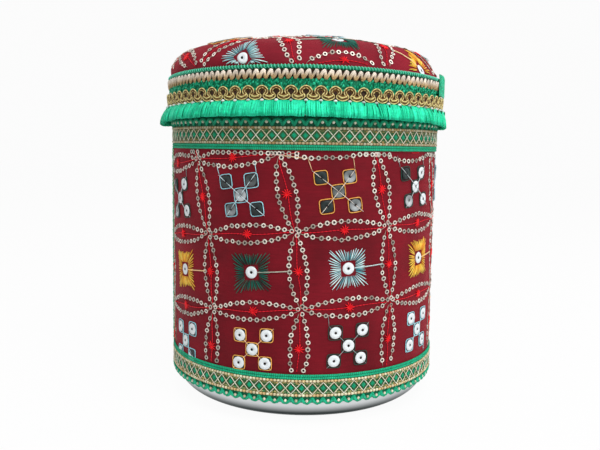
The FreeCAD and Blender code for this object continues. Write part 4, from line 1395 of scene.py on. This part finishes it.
# %% Motif sizes and dyes
UNLIT_CROSS, BURST, WHITE_CROSS = 0, 1, 2
DISC_CORNERS = 24
DISC_REACH = 3.08 * np.array([1.0, 0.96, 0.21, 0.19])
DISC_RISE = np.array([0.0, 0.28, 0.25, 0.0])
DISC_TILT = 0.04
BURST_HOLE, CROSS_HOLE, HOLE_DEPTH = 0.72, 0.66, 0.3
FOOT_GLEAM = 0.2
FOIL = 3.0
FRAME = 3.5
FRAME_CORNERS = 24
FRAME_LIFT = 0.35
FRAME_BLUNT = 0.38
FRAME_UNEVEN = (0.96, 1.05)
REACH = 7.2
ON_CLOTH = 0.1
ON_FOIL = 0.45
OVER_DISC = 0.86
UNDER_DISC = 0.4
CROSS = np.array([(0, 0), (-1, 1), (1, 1), (-1, -1), (1, -1)], float)
FOIL_SHAPE = {"half_along": FOIL, "half_across": FOIL, "heights": (0.1, 0.36, 0.4), "shares": (1, 1, 0.95),
              "corners": 16, "square": 6.0}
BURST_STITCHES = 48
BURST_STITCH = {"radius": 0.31, "lift": 0.22, "arch": 0.2, "sides": 5, "rows": 5}
BURST_VOID = 3.9
BURST_REACH = (8.4, 9.8)
BURST_CORNERS = 1.35
BURST_STRAY = 0.015
SHADE_STRAY = 0.25
BURST_MARGIN = -0.5
SHORTER = (0.85, 0.7, 0.5, 0.3)
BURST_SHADES = (0.25, 0.8)
LINK_POINTS = 30
LINK_FROM, LINK_LENGTH = 3.3, 16.2
LINK_ROPE = {"radius": 0.32, "lay": 2.4, "sides": 8, "depth": 0.45}
FRAME_THREAD = {"radius": 0.22, "sides": 5, "loop": True}
STITCH_MARGIN, END_MARGIN, TAIL_MARGIN = 0.4, 0.2, 0.5
TAIL_LIFT = 0.25
INWARDS = 0.08
UNLIT_PALE, WHITE_PALE, TAIL_PALE = 0.75, 0.4, 0.3
CROSS_STITCH = {"radius": 0.19, "arch": 0.1, "sides": 5, "rows": 4}
WHITE = colour(232, 238, 241)
UNLIT = colour(44, 52, 52)
HOLE_SHADOW = colour(26, 16, 18)
FOIL_DARK = colour(30, 36, 36)
DARK_GREEN = colour(25, 68, 59)
LIGHT_BLUE = colour(162, 231, 244)
ORANGE = colour(255, 188, 91)
CROSS_FRAMES = {UNLIT_CROSS: (DARK_GREEN, LIGHT_BLUE, ORANGE),
                WHITE_CROSS: (LIGHT_BLUE, ORANGE, DARK_GREEN)}
BURST_DYES = ((colour(233, 139, 16), colour(255, 223, 91)), (colour(2, 44, 40), colour(12, 113, 94)),
              (colour(44, 141, 154), colour(225, 255, 255)))
LINKS = (colour(246, 212, 162), colour(177, 177, 162), colour(197, 218, 218))
# Light that the five sequins of an unlit cross catch, in the order of CROSS, for each colour of frame
SHINE = np.array([(1.0, 0.0, 1.0, 0.5, 1.0), (0.5, 0.02, 0.06, 0.2, 0.0), (0.14, 0.0, 0.3, 0.0, 0.33)])
# Ends of the loose threads of a cross, in its own directions: from a corner to a chain or to the lace
LOOSE = REACH + FRAME
UPPER_TAILS = (((-LOOSE, LOOSE), (-LOOSE - 0.8, LOOSE + 6)), ((LOOSE, LOOSE), (LOOSE + 0.4, LOOSE + 6)))
LOWER_TAIL = (((LOOSE, -LOOSE), (LOOSE + 1.2, -LOOSE - 4)),)
ALONG_CHAIN = (((-LOOSE - 0.8, LOOSE + 6), (-LOOSE - 17, LOOSE + 8.6)),)
TAILS = {UNLIT_CROSS: (UPPER_TAILS, UPPER_TAILS, UPPER_TAILS + ALONG_CHAIN),
         WHITE_CROSS: (LOWER_TAIL, (), UPPER_TAILS[:1] + LOWER_TAIL)}
print("sequins of a cross:", len(CROSS), "stitches of a burst:", BURST_STITCHES)


# %% Motif parts
def squared(axes):
    """The pair of square axes nearest to the two directions of a cell."""
    along = unit(axes[0] + np.array([axes[1, 1], -axes[1, 0]]))
    return np.stack([along, [-along[1], along[0]]])


def square_frame(places, axes, rng):
    """Closed thread round a square with blunt corners: a superellipse on the axes given."""
    size = FRAME * rng.uniform(*FRAME_UNEVEN, (len(places), 1, 1))
    flat = places[:, None] + (blunt(around(FRAME_CORNERS), FRAME_BLUNT) * size) @ axes
    return lifted(flat, FRAME_LIFT)


def disc_grids(places, base, rng):
    """Flat discs with a hole, lifted on one side as if sewn loosely."""
    tilt = rng.normal(0, DISC_TILT, (len(places), 2))
    return sequins(places, DISC_REACH, DISC_RISE + base, DISC_CORNERS, tilt)


def disc_holes(places, radius, base):
    """Dark plugs in the holes of the discs, as painted shadow."""
    return lumps(places, radius, radius, (base, base + HOLE_DEPTH), (1, 1), corners=10, square=2.0)


def disc_tint(shine):
    """Discs from unlit to white. One that is partly lit is brighter towards its foot."""
    partly = 4 * shine * (1 - shine)
    share = shine[:, None] - FOOT_GLEAM * partly[:, None] * np.sin(around(DISC_CORNERS))
    return mixed(UNLIT, WHITE, np.clip(share, 0, 1))[:, :, None]


def foil_grids(places, axes):
    """Square foils with slightly blunt corners, on the axes given."""
    outline = lumps(np.zeros((1, 2)), **FOIL_SHAPE)[0]
    flat = places[:, None, None] + outline[..., :2] @ axes
    return lifted(flat, outline[..., 2])


def sew_burst(middle, axes, dye, side, rng):
    """Satin stitches of one burst with their colours, and the link from its disc to a chain.

    Stitches stand at even angles, from a square void round the disc to a square with drawn-out corners.
    They are dark at the root and pale at the tip.
    """
    angle = around(BURST_STITCHES) + TURN * 0.5 / BURST_STITCHES
    angle = angle + rng.normal(0, BURST_STRAY, BURST_STITCHES)
    spokes = points(np.cos(angle), np.sin(angle))
    widest = np.abs(spokes).max(1, keepdims=True)
    start = middle + spokes * (BURST_VOID / widest) @ axes
    reach = rng.uniform(*BURST_REACH, (BURST_STITCHES, 1))
    end = middle + spokes * (reach / widest ** BURST_CORNERS) @ axes
    share = np.linspace(*BURST_SHADES, BURST_STITCH["rows"])
    share = share + rng.normal(0, SHADE_STRAY, (BURST_STITCHES, 1))
    tint = mixed(*BURST_DYES[dye], np.clip(share, 0, 1))[:, :, None]
    along = side * (LINK_FROM + LINK_LENGTH * np.linspace(0, 1, LINK_POINTS)[:, None]) * axes[0]
    return start, end, tint, route(*(middle + along).T, FRAME_LIFT)


def sew_cross(places, middle):
    """Ends of the threads of a cross: from each outer corner through its sequin's hole to the middle one."""
    outer = places[np.linalg.norm(places - middle, axis=1) > FOIL]
    away = (outer - middle) * (1 + FRAME / REACH) + middle
    inwards = outer * (1 - INWARDS) + middle * INWARDS
    return np.concatenate([away, inwards]), np.concatenate([outer, np.broadcast_to(middle, outer.shape)])


def drawn_in(start, end, field):
    """Ends of stitches, shortened step by step where they would leave the field."""
    for share in SHORTER:
        outside = ~field(end, END_MARGIN)
        end = np.where(outside[:, None], start + share * (end - start), end)
    return end


print("motif parts ready")


# %% Motifs of one cloth
def add_burst(threads, discs, middle, axes, dye, side, field, rng):
    """One burst, unless its middle is outside the field."""
    start, end, tint, link = sew_burst(middle, squared(axes), dye, side, rng)
    if not field(middle, BURST_MARGIN):
        return
    keep = field(start, STITCH_MARGIN)
    end = drawn_in(start, end, field)
    threads.add(stitches(start[keep], end[keep], **BURST_STITCH), tint[keep])
    link = link[:, field(link[0], STITCH_MARGIN)]
    if link.shape[1] > 2:
        threads.add(rope(link, **LINK_ROPE), LINKS[dye])
    discs.add(disc_grids(middle[None], ON_CLOTH, rng), WHITE, ring=True)
    discs.add(disc_holes(middle[None], BURST_HOLE, ON_CLOTH), HOLE_SHADOW)


def add_cross(threads, discs, foils, middle, axes, kind, dye, field, tucked, rng):
    """One cross, as far as its sequins lie in the field. The first kind is unlit and sewn over its discs."""
    every = middle + REACH * CROSS @ axes
    keep = field(every, tucked)
    if not keep.any():
        return
    places = every[keep]
    shine, lift, pale = np.ones(len(CROSS)), UNDER_DISC, WHITE_PALE
    if kind == UNLIT_CROSS:
        shine, lift, pale = SHINE[dye], OVER_DISC, UNLIT_PALE
    frame_dye = CROSS_FRAMES[kind][dye]
    square = squared(axes)
    start, end = sew_cross(places, middle)
    threads.add(stitches(start, end, lift=lift, **CROSS_STITCH), mixed(frame_dye, WHITE, pale))
    threads.add(cord(square_frame(places, square, rng), **FRAME_THREAD), frame_dye, ring=True)
    foils.add(foil_grids(places, square), FOIL_DARK)
    base = np.where(field(places, FOIL), ON_FOIL, ON_CLOTH)[:, None, None]
    discs.add(disc_grids(places, base, rng), disc_tint(shine[keep]), ring=True)
    discs.add(disc_holes(every[field(every, FOIL)], CROSS_HOLE, ON_FOIL), HOLE_SHADOW)
    tails = middle + np.array(TAILS[kind][dye]).reshape(-1, 2, 2) @ axes
    start, end = tails[:, 0], tails[:, 1]
    keep = field(start, TAIL_MARGIN) & field(end, END_MARGIN)
    tail_dye = mixed(frame_dye, WHITE, TAIL_PALE)
    threads.add(stitches(start[keep], end[keep], lift=TAIL_LIFT, **CROSS_STITCH), tail_dye)


def motifs(name, cells, lay, field, tucked, side, body, nodes, seed):
    """All motifs of one cloth. Cells are (middle, axes, kind, dye) of each motif, and links go to one side.

    A sequin is sewn if its middle is at least the tucked distance inside the field, so its edge may lie under
    a trim.
    """
    rng = np.random.default_rng(seed)
    threads, discs, foils = Surfaces(lay), Surfaces(lay), Surfaces(lay)
    for middle, axes, kind, dye in cells:
        if kind == BURST:
            add_burst(threads, discs, middle, axes, dye, side, field, rng)
        else:
            add_cross(threads, discs, foils, middle, axes, kind, dye, field, tucked, rng)
    put(name + "_motif_threads", threads, SILK_THREAD, body)
    put(name + "_discs", discs, PEARL, body, [nodes + "_round_sequins"])
    put(name + "_foils", foils, MIRROR_FOIL, body, [nodes + "_square_mirrors"])


# %% Motifs on the wall and the lid
MOTIF_DYES = len(BURST_DYES)
TO_THE_RIGHT, TO_THE_LEFT = 1, -1
WALL_COLUMNS = np.arange(-2.0, 7.0)
WALL_KINDS = (UNLIT_CROSS, BURST, WHITE_CROSS)
LID_KINDS = (BURST, UNLIT_CROSS, WHITE_CROSS)
wall_cells = []
for column in WALL_COLUMNS:
    for row, kind in enumerate(WALL_KINDS):
        along = wall_node(column + 1, row + 0.5) - wall_node(column, row + 0.5)
        upwards = wall_node(column + 0.5, row) - wall_node(column + 0.5, row + 1)
        axes = unit(np.stack([along, upwards]))
        dye = int(column - WALL_COLUMNS[0]) % MOTIF_DYES
        wall_cells.append((wall_node(column + 0.5, row + 0.5), axes, kind, dye))
lid_axes = squared(unit(np.stack([LID_CELL, [-LID_CELL[1], LID_CELL[0]]])))
lid_cells = []
for column in (-1, 0, 1):
    for row in range(-1, 5):
        middle = LID_FRONT + column * LID_CELL + row * LID_ROW
        kind = LID_KINDS[row % len(LID_KINDS)]
        lid_cells.append((middle, lid_axes, kind, (1 - column) % MOTIF_DYES))
motifs("wall", wall_cells, lay_on_wall, in_wall_field, tucked=-1.0, side=TO_THE_RIGHT, body="canister",
       nodes="body", seed=31)
motifs("lid", lid_cells, lay_on_lid, in_lid_field, tucked=2.7, side=TO_THE_LEFT, body="lid",
       nodes="lid", seed=32)

# %% [markdown]
# A plain pale floor and soft lamps: one above and in front, one overhead, a fill on each side, a white world.
# The floor and the world are white to the camera through Light Path, so the object keeps its own exposure,
# and the floor still takes a soft shadow. The lengths of floor and lamps are in metres.


# %% Floor and world
def seen_directly(tree):
    """1 for rays from the camera, or mirrored or let through on the way to it."""
    path = node(tree, "LightPath").outputs
    shiny = maths(tree, "MAXIMUM", path["Is Glossy Ray"], path["Is Transmission Ray"])
    return maths(tree, "MAXIMUM", path["Is Camera Ray"], shiny)


FLOOR_HALF = 4.0
FLOOR_WHITE = 0.95
floor_mesh = bpy.data.meshes.new("floor")
floor_corners = [(FLOOR_HALF * x, FLOOR_HALF * y, 0) for x, y in ((-1, -1), (1, -1), (1, 1), (-1, 1))]
floor_mesh.from_pydata(floor_corners, [], [(0, 1, 2, 3)])
floor = bpy.data.objects.new("floor", floor_mesh)
bpy.context.scene.collection.objects.link(floor)
floor_material, tree, shader = finish("pale floor", Base_Color=(0.86, 0.86, 0.86, 1), Roughness=0.9)
glow = node(tree, "Emission", {"Color": (1, 1, 1, 1), "Strength": 1.0}).outputs[0]
share = maths(tree, "MULTIPLY", seen_directly(tree), FLOOR_WHITE)
blend = node(tree, "MixShader", {0: share, 1: shader.outputs[0], 2: glow}).outputs[0]
tree.links.new(blend, tree.nodes["Material Output"].inputs["Surface"])
floor_mesh.materials.append(floor_material)

WORLD_LIGHT = 0.355
WORLD_WHITE = 0.97
world = bpy.data.worlds.new("studio")
bpy.context.scene.world = world
world.use_nodes = True
tree = world.node_tree
background = tree.nodes["Background"].inputs
tree.links.new(between(tree, seen_directly(tree), WORLD_LIGHT, WORLD_WHITE), background["Strength"])
background["Color"].default_value = (1, 1, 1, 1)
print("floor and world:", floor.name, world.name)

# %% Lamps
AIM = np.array([0, 0, 0.1])
LAMPS = {"key": ((0.35, -0.8, 1.1), 0.8, 9.2), "top": ((0.1, -0.35, 1.3), 0.8, 4.0),
         "right fill": ((0.9, -0.55, 0.45), 0.7, 2.6), "left fill": ((-0.95, -0.3, 0.4), 0.7, 0.65)}
for name, (place, width, power) in LAMPS.items():
    lamp = bpy.data.lights.new(name, "AREA")
    lamp.size = width
    lamp.energy = power
    made = bpy.data.objects.new(name, lamp)
    bpy.context.scene.collection.objects.link(made)
    aim = AIM - np.array(place)
    pitch = math.atan2(-aim[2], math.hypot(aim[0], aim[1]))
    made.location = place
    made.rotation_euler = (math.pi / 2 - pitch, 0, -math.atan2(aim[0], aim[1]))
print("lamps:", list(LAMPS))

# %% [markdown]
# The camera was worked out from the photograph: a little above the middle, looking slightly down, and rolled
# by less than a degree. Its place is in millimetres from the foot of the box.

# %% Camera
PHOTO_WIDTH = 600
FOCAL_PIXELS = 706.16
CAMERA_PLACE = np.array([-1.958, -418.74, 140.69])
CAMERA_PITCH = 0.1114
CAMERA_ROLL = 0.0142
camera_data = bpy.data.cameras.new("camera")
camera_data.lens = camera_data.sensor_width * FOCAL_PIXELS / PHOTO_WIDTH
camera_data.clip_start = 0.01
camera = bpy.data.objects.new("camera", camera_data)
bpy.context.scene.collection.objects.link(camera)
look = Matrix.Rotation(math.pi / 2 - CAMERA_PITCH, 4, "X") @ Matrix.Rotation(CAMERA_ROLL, 4, "Z")
camera.matrix_world = Matrix.Translation(CAMERA_PLACE * MM) @ look
bpy.context.scene.camera = camera
bpy.context.scene.view_settings.view_transform = "Standard"
print("lens", round(camera_data.lens, 2), "mm")
